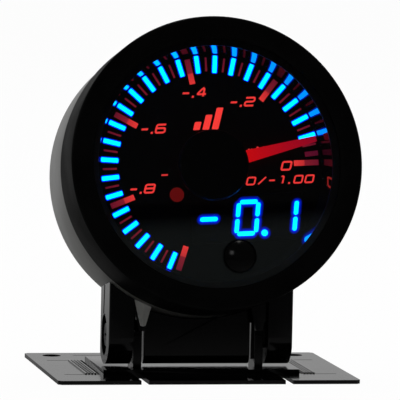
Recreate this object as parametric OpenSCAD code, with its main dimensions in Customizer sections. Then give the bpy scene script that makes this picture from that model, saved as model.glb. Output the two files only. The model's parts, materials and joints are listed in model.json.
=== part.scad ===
// Round vacuum gauge in a cup on a small tilting stand.
// X runs to the right, Y to the back and Z up. The origin is the middle of the base's underside.
// Gauge pieces are drawn about the gauge's own axis, with the face at zero and depth counted
// backwards from it, and are then leaned back onto the stand.

/* [Gauge size] */
// Inner radius of the cup, which the gauge's own size follows
cup_in_r = 31; // [29:0.5:35]
// Thickness of the soft liner between cup and gauge
liner_t = 0.7; // [0.5:0.05:1]
// How far the bezel ring stands out past the can
bezel_over = 2.25; // [2:0.05:2.6]

/* [Bezel and lens] */
// Length of the bezel ring from its face to the seam
bezel_depth = 15.7; // [14:0.1:17]
// Wall of the bezel ring round the lens and dial
bezel_wall = 3.5; // [3.2:0.1:4]
// Thickness of the lip that holds the lens
lip_t = 0.9; // [0.6:0.1:1.4]
// Width of that lip over the lens
lip_w = 1.4; // [0.8:0.1:2]
// Rounding of the bezel's front edge
bezel_edge = 0.7; // [0.3:0.1:1.2]
// Chamfer of the bezel's rear edge at the seam
seam_edge = 0.3; // [0.1:0.05:0.6]
// Thickness of the smoked lens
lens_t = 1.3; // [1:0.1:2]
// Thickness of the sealing ring behind the lens
gasket_t = 0.6; // [0.3:0.1:1]
// Height of the glossy cone between lens and dial
spacer_t = 5.5; // [4.8:0.1:6.5]
// Width of the cone's ring at the lens
spacer_front_w = 2.8; // [1.6:0.1:3.2]
// Width of the cone's ring at the dial
spacer_back_w = 4; // [3.4:0.1:4.4]

/* [Dial] */
// Thickness of the dial plate
dial_t = 0.8; // [0.5:0.1:1.2]
// Thickness of the clear plate that carries light to the dial
guide_t = 2; // [1.5:0.1:2.4]
// Length of one light bar on the scale
tick_len = 4; // [3:0.1:4.2]
// Width of one light bar on the scale
tick_w = 1.1; // [0.8:0.1:1.5]
// Gap between the light bars and the cone
tick_edge = 0.2; // [0.1:0.1:1]
// How far a light bar stands out of the dial
tick_rise = 0.05; // [0.02:0.01:0.1]
// Radius of the warning lamp's window
lamp_r = 1.6; // [1.2:0.1:2]
// Gap between that window and the display
lamp_gap = 1.4; // [0.8:0.1:2]
// Height of the window's middle over the top of the display
lamp_up = 0.5; // [-1:0.1:2]
// Dial lettering leans this much from level, in degrees
dial_turn = 2.5; // [0:0.5:5]

/* [Display] */
// Height of one digit
digit_h = 8; // [6.5:0.1:8.2]
// Width of one digit
digit_w = 5.4; // [4.5:0.1:5.8]
// Distance from one digit to the next
digit_step = 8.7; // [8.3:0.1:8.9]
// Thickness of a lit stroke
stroke_w = 1.15; // [0.8:0.05:1.3]
// Gap between neighbouring strokes
stroke_gap = 0.62; // [0.6:0.02:0.8]
// How far a stroke stands out of the display's face
stroke_rise = 0.1; // [0.05:0.05:0.2]
// Edge of the display's face round the digits
display_edge = 1.2; // [0.8:0.1:1.3]
// Gap between the display's right side and the edge of the dial
display_side = 8.85; // [8:0.05:10]
// Gap between the display and the switch below it
display_gap = 0.85; // [0.5:0.05:1.2]
// Depth of the display's face under the dial's face
display_sunk = 0.2; // [0.1:0.05:0.4]
// Lean of the digits, in degrees
digit_lean = 6; // [0:1:8]

/* [Pointer] */
// Gap between the pointer's tip and the cone's edge at the dial
needle_short = 0.8; // [0.3:0.1:2]
// Width of the pointer where it leaves the cap
needle_root_w = 2.8; // [2.5:0.1:4]
// Width of the pointer at its tip
needle_tip_w = 1.3; // [0.8:0.1:2]
// Thickness of the pointer
needle_t = 0.8; // [0.5:0.1:1]
// Radius of the pointer's hidden hub
needle_hub_r = 5; // [4:0.1:6.5]
// Gap between the pointer and the dial
needle_gap = 1.3; // [1:0.1:1.5]
// Radius of the black cap over the pointer's hub
hub_cap_r = 7.9; // [7:0.1:8.5]
// Thickness of that cap
hub_cap_t = 1.6; // [1.2:0.1:1.8]
// Chamfer round the cap's front edge
hub_cap_edge = 0.5; // [0.3:0.1:0.8]
// Length of the boss under the cap
hub_boss_t = 0.5; // [0.2:0.1:0.6]
// Radius of the spindle that carries the pointer
spindle_r = 1; // [0.8:0.05:1.1]
// Angle of the pointer from the zero mark at rest, in degrees
needle_angle = 12.2; // [0:0.1:60]

/* [Push button] */
// Radius of the button's dome
button_r = 3.4; // [3:0.1:3.6]
// Height of the button's dome over its straight side
button_dome = 0.9; // [0.6:0.1:1.2]
// Depth of the dome's top behind the bezel's face
button_sunk = 0.1; // [0:0.05:0.3]
// Length of the button's straight side
button_side = 1.9; // [1.6:0.1:2.4]
// Radius of the stem behind the button
button_stem_r = 1.6; // [1.2:0.1:1.8]
// Gap round the button in the lens
button_gap = 0.3; // [0.25:0.05:0.5]
// Gap between the button's hole in the lens and the lip
button_in = 2.8; // [2:0.1:3]
// Place of the button to the right of straight down, in degrees
button_turn = 10.5; // [0:0.5:14]
// Side of the square switch under the button
switch_w = 6; // [5:0.1:6]
// Height of that switch
switch_h = 2.2; // [2:0.1:2.3]
// Radius of the switch's plunger
plunger_r = 1.3; // [1:0.1:1.5]

/* [Boards and motor] */
// Room between the light plate and the main board
led_room = 2.4; // [2.4:0.1:3]
// Thickness of both circuit boards
board_t = 1.6; // [1:0.1:1.6]
// Gap between the boards and the can's wall
board_gap = 0.35; // [0.25:0.05:0.6]
// Number of lamps behind the scale
led_count = 12; // [6:1:16]
// Width of one lamp along the scale
led_w = 2; // [1.5:0.1:2.5]
// Width of one lamp across the scale
led_d = 1.4; // [1:0.1:1.6]
// Height of one lamp
led_h = 0.9; // [0.6:0.1:1.2]
// Inner depth of the motor's case
motor_room = 7.2; // [7:0.1:7.6]
// Wall of the motor's case
motor_wall = 1; // [0.8:0.05:1.1]
// Thickness of the motor's cover
motor_cover_t = 1.2; // [1.2:0.1:1.6]
// Free width inside the motor's case
motor_w = 23; // [22.6:0.1:24]
// Teeth of the wheel on the spindle
wheel_teeth = 40; // [36:2:40]
// Teeth of the pinion on the rotor
pinion_teeth = 10; // [10:1:10]
// Pitch diameter of a gear for each tooth
gear_module = 0.5; // [0.48:0.01:0.5]
// Thickness of the wheel
wheel_t = 1.2; // [0.8:0.1:1.2]
// Radius of the rotor's magnet
magnet_r = 3.3; // [2.8:0.1:3.4]
// Length of the rotor's magnet
magnet_t = 4.2; // [3.5:0.1:4.2]
// Radius of the fixed pin that the rotor turns on
rotor_pin_r = 0.5; // [0.4:0.05:0.6]
// Thickness of the iron stator
stator_t = 1; // [0.8:0.1:1.2]
// Width of the stator's bar
stator_bar_w = 2.6; // [2:0.1:2.8]
// Radius of a coil
coil_r = 2.3; // [2:0.05:2.3]
// Length of a coil
coil_len = 5; // [4:0.1:5.2]

/* [Housing] */
// Wall of the can
can_wall = 1.5; // [1.2:0.05:1.6]
// Thickness of the rear cover
rear_cover_t = 2; // [1.6:0.1:2.4]
// Radius of a screw post
post_r = 2.5; // [2.2:0.1:2.6]
// Radius of a small screw's shank
screw_r = 1; // [0.8:0.05:1.1]
// Radius of a small screw's head
screw_head_r = 1.8; // [1.5:0.05:1.8]
// Height of a small screw's head
screw_head_t = 1.1; // [0.8:0.1:1.2]
// Length of a small screw under its head
screw_len = 6; // [4:0.5:7]
// Outer width of a rear socket
socket_w = 13; // [12.6:0.1:13.4]
// Outer height of a rear socket
socket_h = 9; // [8.8:0.1:9.6]
// Wall of a rear socket
socket_wall = 1; // [0.8:0.1:1]
// Depth of a rear socket's opening
socket_deep = 5.8; // [5.6:0.1:6.2]
// Thickness of a rear socket's floor
socket_floor = 1; // [0.6:0.1:1.4]
// Distance of the sockets' middles from the gauge's middle
socket_x = 8.2; // [7.4:0.1:9]
// Radius of a contact pin
contact_r = 0.35; // [0.25:0.05:0.4]
// Length of a contact pin inside its socket
contact_len = 1; // [0.6:0.1:1.2]

/* [Cup] */
// Wall of the cup at the seam
cup_wall = 1.2; // [1:0.1:1.5]
// How much smaller in radius the cup is at its back edge
cup_taper = 0.2; // [0:0.05:0.4]
// Gap between bezel and cup
seam_gap = 0.3; // [0.1:0.05:0.5]
// Gap between the can's back and the cup's rear lip
cup_gap = 0.4; // [0.3:0.1:1]
// Thickness of the cup's rear lip
cup_lip_t = 1; // [0.8:0.1:1.2]
// Width of the cup's rear lip
cup_lip_w = 1.6; // [1:0.1:2]
// Distance from the cup's front edge to the liner
liner_in = 2; // [1:0.1:2.2]
// Lean of the cup and gauge, in degrees
cup_tilt = 11; // [8:0.5:13]
// Height of the cup's lowest side over the underside of the base, if it stood upright
cup_up = 17.3; // [17:0.1:19]
// How far the middle of the bezel's face stands in front of the base
face_out = 3.2; // [2:0.1:4.4]

/* [Stand] */
// Distance between the outer faces of the two legs
leg_span = 41.8; // [41.2:0.1:42.6]
// Width of a leg
leg_w = 5.6; // [5.3:0.1:5.8]
// Distance from the base's front edge to the tilt axis
pivot_back = 18.7; // [18:0.1:19.4]
// Height of the tilt axis over the underside of the base
pivot_up = 8.95; // [8.6:0.05:9.1]
// Gap between the legs and the base under them
leg_clear = 0.35; // [0.3:0.05:0.5]
// How much deeper a leg is at its top than at its foot
leg_flare = 0.8; // [0:0.1:1.4]
// Rounding of a leg's outer back edge
leg_round = 2.6; // [1:0.1:3]
// Rounding of a leg's outer front edge
leg_edge = 0.5; // [0.2:0.1:0.8]
// Width of the oval recess in a leg's outer face
recess_w = 6.3; // [6:0.1:6.6]
// Height of that recess
recess_h = 9.2; // [8.6:0.1:9.6]
// Depth of that recess
recess_deep = 2; // [1.7:0.1:2.2]
// Depth of the faint channel above the recess
channel_deep = 0.4; // [0.2:0.05:0.6]
// Thickness of the curved panel between the legs
panel_t = 4; // [3:0.1:4.2]
// Distance from the tilt axis forward to that panel's face
panel_out = 1.7; // [1.5:0.1:2]
// Side gap between the panel and the base's ears
panel_side = 0.8; // [0.3:0.1:1]
// How far the panel's shoulders over the ears lie behind its face
shoulder_in = 1.2; // [0.8:0.1:2]
// Width of the ribs beside the legs, at the cup
gusset_w = 4; // [3:0.1:4.4]
// Width of those ribs at their lower end
gusset_tip_w = 1.4; // [1:0.1:2]
// Depth of those ribs from front to back
gusset_d = 2.1; // [1.6:0.1:2.2]
// Height of those ribs' lower end over the tilt axis
gusset_up = 1.5; // [1:0.1:2.5]
// Height of their full width against the leg, under the cup
gusset_hold = 1.2; // [0.8:0.1:2]

/* [Base] */
// Width of the base
base_w = 68; // [66:0.5:74]
// Depth of the base from front to back
base_d = 51; // [50:0.5:56]
// Thickness of the base's plate
base_t = 0.9; // [0.8:0.05:1.2]
// Width of the raised bed in the middle
bed_w = 44.6; // [44.2:0.1:45]
// Depth of the raised bed
bed_d = 25.5; // [24:0.5:27]
// Height of the raised bed over the plate
bed_h = 1.1; // [0.9:0.05:1.3]
// Distance from the base's front edge to the bed
bed_in = 10.5; // [9:0.1:11]
// Radius of the ears' round tops
ear_r = 3.4; // [3.2:0.1:3.8]
// Thickness of an ear
ear_w = 1.9; // [1.6:0.1:2.4]
// Width of the slits in the base's front
slit_w = 1.7; // [1:0.1:2]
// Distance from the middle to the left slit
slit_left = 13.8; // [13:0.1:15]
// Distance from the middle to the right slit
slit_right = 17; // [16:0.1:17.6]
// Diameter of the screw holes in the wings
hole_d = 4.2; // [3.5:0.1:4.5]
// Distance from the base's side to a screw hole
hole_side = 5.6; // [4:0.1:7]
// Distance from the base's back edge to a screw hole
hole_in = 5; // [4:0.1:5.5]
// Width of the strip at the base's side that a wing's sprung tongue grows from
tongue_root = 3.1; // [2:0.1:5]
// Gap between a tongue's slot and the screw hole behind it
tongue_back = 6.9; // [4:0.1:12]
// Width of the slot round a tongue
tongue_slot = 0.5; // [0.3:0.05:0.7]
// Gap between the bed's side and that slot
tongue_in = 0.5; // [0.3:0.1:0.8]
// Distance from the base's front edge to a tongue
tongue_front = 11.5; // [11:0.1:14]
// Height of the grip ribs on a tongue's tip
rib_h = 0.25; // [0.1:0.05:0.4]
// Width of one grip rib, and of the gap to the next
rib_w = 0.35; // [0.2:0.05:0.4]
// Number of grip ribs on a tongue
rib_count = 4; // [2:1:6]
// Length of the slit behind the bed on each side
back_slit_len = 10; // [6:0.5:12]
// Width of that slit
back_slit_w = 0.6; // [0.4:0.1:1]
// Gap between that slit and the screw hole
back_slit_in = 3; // [1:0.1:4]
// Thickness of the adhesive pads under the base
pad_t = 0.3; // [0.2:0.05:0.4]
// Margin round the adhesive pads
pad_edge = 1.6; // [1:0.1:2.4]

/* [Pivot] */
// Radius of a pivot screw's shank
pivot_r = 1.5; // [1.2:0.05:1.6]
// Radius of a pivot screw's head
pivot_head_r = 2.6; // [2.2:0.05:2.7]
// Height of a pivot screw's head
pivot_head_t = 1.5; // [1.2:0.1:1.6]
// Thickness of the washers between legs and ears
washer_t = 0.4; // [0.3:0.05:0.5]
// Radius of the washers
washer_r = 3; // [2.4:0.1:3.1]

/* [Hidden] */
$fn = 96;

// Extra length of a cut past the face it opens
cut = 0.5;
// Clearance between pieces that are pushed together and stay so
snug = 0.05;
// Clearance of a shaft in the hole that it turns in
run = 0.05;
// Gap between pieces that pass each other
pass = 0.3;
// Steps of a rounded edge drawn as points
round_steps = 6;

// Radii from the cup inwards, and out again to the bezel
cup_front_r = cup_in_r + cup_wall;
cup_back_r = cup_front_r - cup_taper;
can_r = cup_in_r - liner_t - run;
can_in_r = can_r - can_wall;
board_r = can_in_r - board_gap;
bezel_r = can_r + bezel_over;
seat_r = bezel_r - bezel_wall;
disc_r = seat_r - snug;
lip_r = seat_r - lip_w;
spacer_front_r = seat_r - spacer_front_w;
spacer_back_r = seat_r - spacer_back_w;
tick_r = spacer_back_r - tick_edge - tick_len / 2;
needle_len = spacer_back_r - needle_short;

// Depths behind the bezel's face, front to back
lens_back = lip_t + lens_t;
gasket_back = lens_back + gasket_t;
dial_face = gasket_back + spacer_t;
dial_back = dial_face + dial_t;
guide_back = dial_back + guide_t;
board_face = guide_back + led_room;
board_back = board_face + board_t;
motor_inside = board_back + motor_wall;
motor_back = motor_inside + motor_room;
motor_end = motor_back + motor_cover_t;
connector_gap = 1;
connector_face = motor_end + connector_gap;
connector_back = connector_face + board_t;
socket_back = connector_back + socket_floor + socket_deep;
can_back = socket_back - pass;
cover_face = can_back - rear_cover_t;
cup_front = bezel_depth + seam_gap;
cup_back = can_back + cup_gap + cup_lip_t;

// Pointer
needle_back = dial_face - needle_gap;
needle_face = needle_back - needle_t;
cap_back = needle_face;
cap_face = cap_back - hub_cap_t;
spindle_tip = cap_face + hub_cap_t / 2;

// Scale: light bars lie half way between the marks of each major division
scale_angle = 249;
bar_places = 25;
bar_step = scale_angle / bar_places;

// Push button
button_out = lip_r - button_in - button_gap - button_r;
button_at = [button_out * sin(button_turn), -button_out * cos(button_turn)];
button_top = button_sunk;
button_shoulder = button_top + button_dome;
button_end = button_shoulder + button_side;
switch_face = board_face - switch_h;
plunger_out = 1;
plunger_top = switch_face - plunger_out;
plunger_in = 1.1;
plunger_travel = 0.5;
plunger_floor = switch_face + plunger_in + plunger_travel + snug;
stem_hole_r = button_stem_r + pass;
spindle_hole_r = spindle_r + 2 * pass;

// Display, which keeps clear of the switch, and the warning lamp beside it
display_w = 2 * digit_step + digit_w + 2 * display_edge;
display_h = digit_h + 2 * display_edge;
display_face = dial_face + display_sunk;
display_at = [disc_r - display_side - display_w / 2,
              button_at[1] + switch_w / 2 + display_gap + display_h / 2];
lamp_at = [display_at[0] - display_w / 2 - lamp_gap - lamp_r,
           display_at[1] + display_h / 2 + lamp_up];
window_gap = 0.1;

// Motor
wheel_r = wheel_teeth * gear_module / 2;
pinion_r = pinion_teeth * gear_module / 2;
rotor_y = -(wheel_r + pinion_r);
wheel_face = motor_inside + pass;
wheel_back = wheel_face + wheel_t;
pinion_face = motor_inside + pass / 2;
pinion_back = wheel_back + pass / 2;
magnet_face = pinion_back;
magnet_back = magnet_face + magnet_t;
stator_mid = (magnet_face + magnet_back) / 2;
stator_gap = 0.6;
stator_ring = 1.4;
coil_in = magnet_r + stator_gap + stator_ring;
motor_top = wheel_r + gear_module + pass + motor_wall;
motor_low = -rotor_y + coil_in + pass + motor_wall;
tooth_slack_share = 0.07;
tooth_top_share = 0.42;
tooth_root_share = 1.35;
tooth_rise_share = 0.85;
tooth_drop_share = 1.2;

// Screw posts stand at three places round the can
post_angles = [90, 210, 330];
post_root = 0.3;
post_ring_r = can_in_r - post_r + post_root;
pilot_r = screw_r + snug / 2;
screw_hole_r = screw_r + snug * 2;

// Pins between the boards
header_count = 6;
header_step = 2.54;
header_y = motor_top + 2 * header_step;
pin_over = 0.8;
connector_w = 34;
connector_low = 8;
connector_top = header_y + header_step / 2;
power_contacts = 4;
sensor_contacts = 3;

// Cup
leg_screw_head = 0.6;
leg_screw_len = 4.6;
leg_screw_in = 2.5;
leg_screw_depth = cup_back - cup_lip_t - leg_screw_in;
liner_front = cup_front + liner_in;
liner_back = leg_screw_depth - screw_head_r - pass;

// Stand, with Y and Z in the part's own frame
face_up = cup_front_r + cup_up;
face_y = -base_d / 2 - face_out;
pivot_y = -base_d / 2 + pivot_back;
bed_top = base_t + bed_h;
lug_r = pivot_up - bed_top - leg_clear;
leg_out = leg_span / 2;
leg_in = leg_out - leg_w;
ear_out = leg_in - washer_t - 2 * snug;
ear_in = ear_out - ear_w;
panel_half = ear_in - panel_side;
panel_face = pivot_y - panel_out;
panel_back = panel_face + panel_t;
leg_top = face_up - cup_back_r / 2;
leg_screw_angle = asin((leg_in + leg_w / 2) / (cup_in_r + leg_screw_head + leg_screw_len / 2));
gusset_front = pivot_y - lug_r + snug;

// Base
bed_front = -base_d / 2 + bed_in;
wing_corner = 0.8;
hole_x = base_w / 2 - hole_side;
hole_y = base_d / 2 - hole_in;
tongue_tip = bed_w / 2 + tongue_in + tongue_slot;
tongue_w = base_w / 2 - tongue_root - tongue_tip;
tongue_y = -base_d / 2 + tongue_front;
tongue_len = hole_y - hole_d / 2 - tongue_back - tongue_slot - tongue_y;
pad_depth = base_d - 2 * pad_edge;
centre_pad_w = slit_left + slit_right - 2 * pad_edge;

// Points along an arc about a centre, from one angle to another
function arc(centre, radius, from, to, steps = round_steps) =
    [for (i = [0:steps])
        let (a = from + (to - from) * i / steps) centre + radius * [cos(a), sin(a)]];

// Places the gauge's axis on the stand, leaned back
module at_cup() {
    translate([0, face_y, face_up]) rotate([90 - cup_tilt, 0, 0]) children();
}

// The same, turned with the dial
module at_dial() {
    at_cup() rotate([0, 0, dial_turn]) children();
}

// A disc of the gauge between two depths
module drum(radius, from, to) {
    translate([0, 0, -to]) cylinder(r = radius, h = to - from);
}

// A flat shape of the gauge between two depths
module slab(from, to) {
    translate([0, 0, -to]) linear_extrude(to - from) children();
}

// A box of the gauge centred on a place, between two depths
module block(place, size, from, to) {
    slab(from, to) translate(place) square(size, center = true);
}

// A shape given as Y and Z points, between two places along X
module along_x(from, to) {
    translate([from, 0, 0]) rotate([90, 0, 90]) linear_extrude(to - from) children();
}

// A cylinder along X about the tilt axis
module on_pivot(radius, from, to) {
    translate([from, pivot_y, pivot_up]) rotate([0, 90, 0]) cylinder(r = radius, h = to - from);
}

// Height of the cup's underside over a place beside the middle
function cup_under(x, y) =
    face_up - (sqrt(pow(cup_front_r + snug, 2) - x * x) + (y - face_y) * sin(cup_tilt)) / cos(cup_tilt);

module at_button() {
    translate([button_at[0], button_at[1], 0]) children();
}

module at_lamp() {
    translate([lamp_at[0], lamp_at[1], 0]) children();
}

module at_display() {
    translate([display_at[0], display_at[1], 0]) children();
}

module at_posts() {
    for (a = post_angles) rotate([0, 0, a]) translate([post_ring_r, 0, 0]) children();
}

module bezel_ring() {
    color([0.05, 0.05, 0.05]) at_dial() rotate_extrude() polygon(concat(
        [[lip_r, -lip_t], [lip_r, 0]],
        arc([bezel_r - bezel_edge, -bezel_edge], bezel_edge, 90, 0),
        [[bezel_r, seam_edge - bezel_depth], [bezel_r - seam_edge, -bezel_depth],
         [can_r + snug, -bezel_depth], [can_r + snug, -dial_back],
         [seat_r, -dial_back], [seat_r, -lip_t]]));
}

module lens() {
    color([0.1, 0.1, 0.12, 0.4]) at_dial() difference() {
        drum(disc_r, lip_t, lens_back);
        at_button() drum(button_r + button_gap, lip_t - cut, lens_back + cut);
    }
}

module lens_gasket() {
    color([0.12, 0.12, 0.12]) at_dial() difference() {
        drum(disc_r, lens_back, gasket_back);
        drum(spacer_front_r, lens_back - cut, gasket_back + cut);
    }
}

module spacer_ring() {
    color([0.03, 0.03, 0.03]) at_dial() rotate_extrude() polygon([
        [spacer_front_r, -gasket_back], [disc_r, -gasket_back],
        [disc_r, -dial_face], [spacer_back_r, -dial_face]]);
}

// Every place of a light bar, the first of which stays dark
module at_bars(first) {
    for (i = [first:bar_places - 1]) rotate([0, 0, (i + 1 / 2) * bar_step])
        translate([tick_r, 0, 0]) children();
}

module dial() {
    color([0.02, 0.02, 0.03]) at_dial() difference() {
        drum(disc_r, dial_face, dial_back);
        at_bars(1) block([0, 0], [tick_len, tick_w], dial_face - cut, dial_back + cut);
        at_display() block([0, 0], [display_w + 2 * window_gap, display_h + 2 * window_gap],
                           dial_face - cut, dial_back + cut);
        at_lamp() drum(lamp_r, dial_face - cut, dial_back + cut);
        at_button() drum(stem_hole_r, dial_face - cut, dial_back + cut);
        drum(spindle_hole_r, dial_face - cut, dial_back + cut);
    }
}

module tick_bars() {
    color([0.04, 0.97, 1]) at_dial() at_bars(1)
        block([0, 0], [tick_len, tick_w], dial_face - tick_rise, dial_back);
}

module light_guide() {
    color([0.8, 0.85, 0.9, 0.6]) at_dial() difference() {
        drum(board_r, dial_back, guide_back);
        at_display() block([0, 0], [display_w + 2 * window_gap, display_h + 2 * window_gap],
                           dial_back - cut, guide_back + cut);
        at_lamp() drum(lamp_r, dial_back - cut, guide_back + cut);
        at_button() drum(stem_hole_r, dial_back - cut, guide_back + cut);
        drum(spindle_hole_r, dial_back - cut, guide_back + cut);
    }
}

module hub_cap() {
    color([0.03, 0.03, 0.03]) at_dial() difference() {
        union() {
            rotate_extrude() polygon([
                [0, -cap_face], [hub_cap_r - hub_cap_edge, -cap_face],
                [hub_cap_r, -cap_face - hub_cap_edge], [hub_cap_r, -cap_back], [0, -cap_back]]);
            drum(spindle_r + hub_boss_t, cap_back - snug, cap_back + needle_t);
        }
        drum(spindle_r, spindle_tip, cap_back + needle_t + cut);
    }
}

module needle() {
    color([0.71, 0.05, 0.05]) at_dial() rotate([0, 0, needle_angle]) slab(needle_face, needle_back)
        difference() {
            union() {
                circle(r = needle_hub_r);
                polygon([[0, -needle_root_w / 2], [hub_cap_r, -needle_root_w / 2],
                         [needle_len, -needle_tip_w / 2], [needle_len, needle_tip_w / 2],
                         [hub_cap_r, needle_root_w / 2], [0, needle_root_w / 2]]);
            }
            circle(r = spindle_r + hub_boss_t);
        }
}

module spindle() {
    color([0.75, 0.75, 0.78]) at_dial()
        drum(spindle_r, spindle_tip, motor_back + motor_cover_t / 2);
}

// Outline of a gear with straight-sided teeth, one tooth on the X axis
module gear_outline(teeth) {
    pitch = teeth * gear_module / 2;
    half = 90 / teeth * (1 - tooth_slack_share);
    outer = pitch + gear_module * tooth_rise_share;
    root = pitch - gear_module * tooth_drop_share;
    polygon([for (i = [0:teeth - 1], corner = [
        [root, -tooth_root_share], [pitch, -1], [outer, -tooth_top_share],
        [outer, tooth_top_share], [pitch, 1], [root, tooth_root_share]])
        let (a = 360 * i / teeth + half * corner[1]) corner[0] * [cos(a), sin(a)]]);
}

module drive_wheel() {
    color([0.9, 0.9, 0.85]) at_dial() slab(wheel_face, wheel_back) difference() {
        rotate([0, 0, -90]) gear_outline(wheel_teeth);
        circle(r = spindle_r);
    }
}

module pinion() {
    color([0.85, 0.85, 0.8]) at_dial() translate([0, rotor_y, 0]) slab(pinion_face, pinion_back)
        difference() {
            rotate([0, 0, 90 + 180 / pinion_teeth]) gear_outline(pinion_teeth);
            circle(r = rotor_pin_r + run);
        }
}

module rotor_magnet() {
    color([0.25, 0.25, 0.27]) at_dial() translate([0, rotor_y, 0]) difference() {
        drum(magnet_r, magnet_face, magnet_back);
        drum(rotor_pin_r + run, magnet_face - cut, magnet_back + cut);
    }
}

module rotor_pin() {
    color([0.8, 0.8, 0.82]) at_dial() translate([0, rotor_y, 0])
        drum(rotor_pin_r, board_back + motor_wall / 2, motor_back + motor_cover_t / 2);
}

module stator() {
    color([0.55, 0.55, 0.58]) at_dial() translate([0, rotor_y, 0])
        slab(stator_mid - stator_t / 2, stator_mid + stator_t / 2) difference() {
            union() {
                circle(r = coil_in);
                square([motor_w - 2 * snug, stator_bar_w], center = true);
            }
            circle(r = magnet_r + stator_gap);
        }
}

module coils() {
    color([0.72, 0.38, 0.2]) at_dial() for (side = [-1, 1])
        translate([side * (coil_in + pass / 2 + coil_len / 2), rotor_y, -stator_mid])
            difference() {
                rotate([0, 90, 0]) cylinder(r = coil_r, h = coil_len, center = true);
                cube([coil_len + 2 * cut, stator_bar_w + 2 * snug, stator_t + 2 * snug],
                     center = true);
            }
}

// Plan of the motor's case, grown or shrunk by its walls
module motor_plan(grow) {
    translate([-motor_w / 2 - grow, -motor_low - grow + motor_wall])
        square([motor_w + 2 * grow, motor_top + motor_low - 2 * motor_wall + 2 * grow]);
}

module motor_case() {
    color([0.2, 0.2, 0.22]) at_dial() difference() {
        slab(board_back, motor_back) motor_plan(motor_wall);
        slab(motor_inside, motor_back + cut) motor_plan(0);
        drum(spindle_r + run, board_back - cut, motor_inside + cut);
        translate([0, rotor_y, 0])
            drum(rotor_pin_r, board_back + motor_wall / 2, motor_inside + cut);
    }
}

module motor_cover() {
    color([0.3, 0.3, 0.32]) at_dial() difference() {
        slab(motor_back, motor_end) motor_plan(motor_wall);
        drum(spindle_r + run, motor_back - cut, motor_back + motor_cover_t / 2 + snug);
        translate([0, rotor_y, 0])
            drum(rotor_pin_r, motor_back - cut, motor_back + motor_cover_t / 2);
    }
}

module display_module() {
    color([0.08, 0.08, 0.09]) at_dial() at_display()
        block([0, 0], [display_w, display_h], display_face, board_face);
}

// One stroke with round ends, lying along X
module stroke(length) {
    straight = length - stroke_w;
    square([straight, stroke_w], center = true);
    for (end = [-1, 1]) translate([end * straight / 2, 0]) circle(r = stroke_w / 2);
}

// Strokes of a digit, in the usual order from the top round to the middle
module digit(strokes) {
    across = digit_w - stroke_w;
    down = (digit_h - stroke_w) / 2;
    places = [[0, down, 0], [across / 2, down / 2, 90], [across / 2, -down / 2, 90], [0, -down, 0],
              [-across / 2, -down / 2, 90], [-across / 2, down / 2, 90], [0, 0, 0]];
    for (s = strokes) let (p = places[s])
        translate([p[0] + p[1] * tan(digit_lean), p[1]])
            rotate(p[2] == 0 ? 0 : p[2] - digit_lean)
                stroke((p[2] == 0 ? across : down) - stroke_gap);
}

// The point after a digit
module digit_point() {
    translate([digit_step / 2, -(digit_h - stroke_w) / 2]) circle(r = stroke_w * 3 / 5);
}

module strokes_out() {
    at_dial() at_display() slab(display_face - stroke_rise, display_face) children();
}

module lit_segments() {
    color([0.04, 0.97, 1]) strokes_out() {
        translate([-digit_step, 0]) digit([6]);
        digit([0, 1, 2, 3, 4, 5]);
        digit_point();
        translate([digit_step, 0]) digit([1, 2]);
    }
}

module dark_segments() {
    color([0.12, 0.12, 0.13]) strokes_out() {
        translate([-digit_step, 0]) digit([0, 1, 2, 3, 4, 5]);
        digit([6]);
        translate([-digit_step, 0]) digit_point();
        translate([digit_step, 0]) digit([0, 3, 4, 5, 6]);
    }
}

module warning_lens() {
    color([0.45, 0.06, 0.05]) at_dial() at_lamp() drum(lamp_r, dial_face - tick_rise, guide_back);
}

module warning_led() {
    color([0.9, 0.9, 0.8]) at_dial() at_lamp()
        block([0, 0], [led_w, led_d], board_face - led_h, board_face);
}

module tick_leds() {
    color([0.9, 0.9, 0.8]) at_dial() for (i = [0:led_count - 1])
        rotate([0, 0, (i + 1 / 2) * scale_angle / led_count])
            block([tick_r, 0], [led_d, led_w], board_face - led_h, board_face);
}

// Holes for the pins that join the two boards
module header_places() {
    for (i = [0:header_count - 1])
        translate([(i - (header_count - 1) / 2) * header_step, header_y]) children();
}

module main_board() {
    color([0.05, 0.3, 0.12]) at_dial() difference() {
        drum(board_r, board_face, board_back);
        drum(spindle_hole_r, board_face - cut, board_back + cut);
        at_posts() drum(screw_hole_r, board_face - cut, board_back + cut);
        slab(board_face - cut, board_back + cut) header_places() circle(r = contact_r + snug);
    }
}

// A small pan-head screw whose head stands on the given depth, driven backwards or forwards
module small_screw(depth, back) {
    translate([0, 0, -depth]) rotate([back ? 0 : 180, 0, 0]) difference() {
        union() {
            cylinder(r = screw_head_r, h = screw_head_t);
            translate([0, 0, -screw_len]) cylinder(r = screw_r, h = screw_len + screw_head_t / 2);
        }
        translate([0, 0, screw_head_t]) for (turn = [0, 90]) rotate([0, 0, turn])
            cube([2 * screw_r, screw_r / 2, screw_head_t], center = true);
    }
}

module board_screws() {
    color([0.7, 0.7, 0.72]) at_dial() at_posts() small_screw(board_face, true);
}

module button_cap() {
    color([0.04, 0.04, 0.04]) at_dial() at_button() union() {
        // A dome cut from a sphere that meets the straight side
        dome_r = (button_r * button_r + button_dome * button_dome) / (2 * button_dome);
        intersection() {
            translate([0, 0, -button_top - dome_r]) sphere(r = dome_r);
            drum(button_r, button_top - cut, button_shoulder + snug);
        }
        drum(button_r, button_shoulder, button_end);
        drum(button_stem_r, button_end - snug, plunger_top);
    }
}

module switch_plunger() {
    color([0.6, 0.55, 0.5]) at_dial() at_button()
        drum(plunger_r, plunger_top, switch_face + plunger_in);
}

module switch_body() {
    color([0.15, 0.15, 0.16]) at_dial() at_button() difference() {
        block([0, 0], [switch_w, switch_w], switch_face, board_face);
        drum(plunger_r + run, switch_face - cut, plunger_floor);
    }
}

module header_pins() {
    color([0.85, 0.7, 0.3]) at_dial()
        slab(board_face - pin_over, connector_back + pin_over) header_places() circle(r = contact_r);
}

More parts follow.
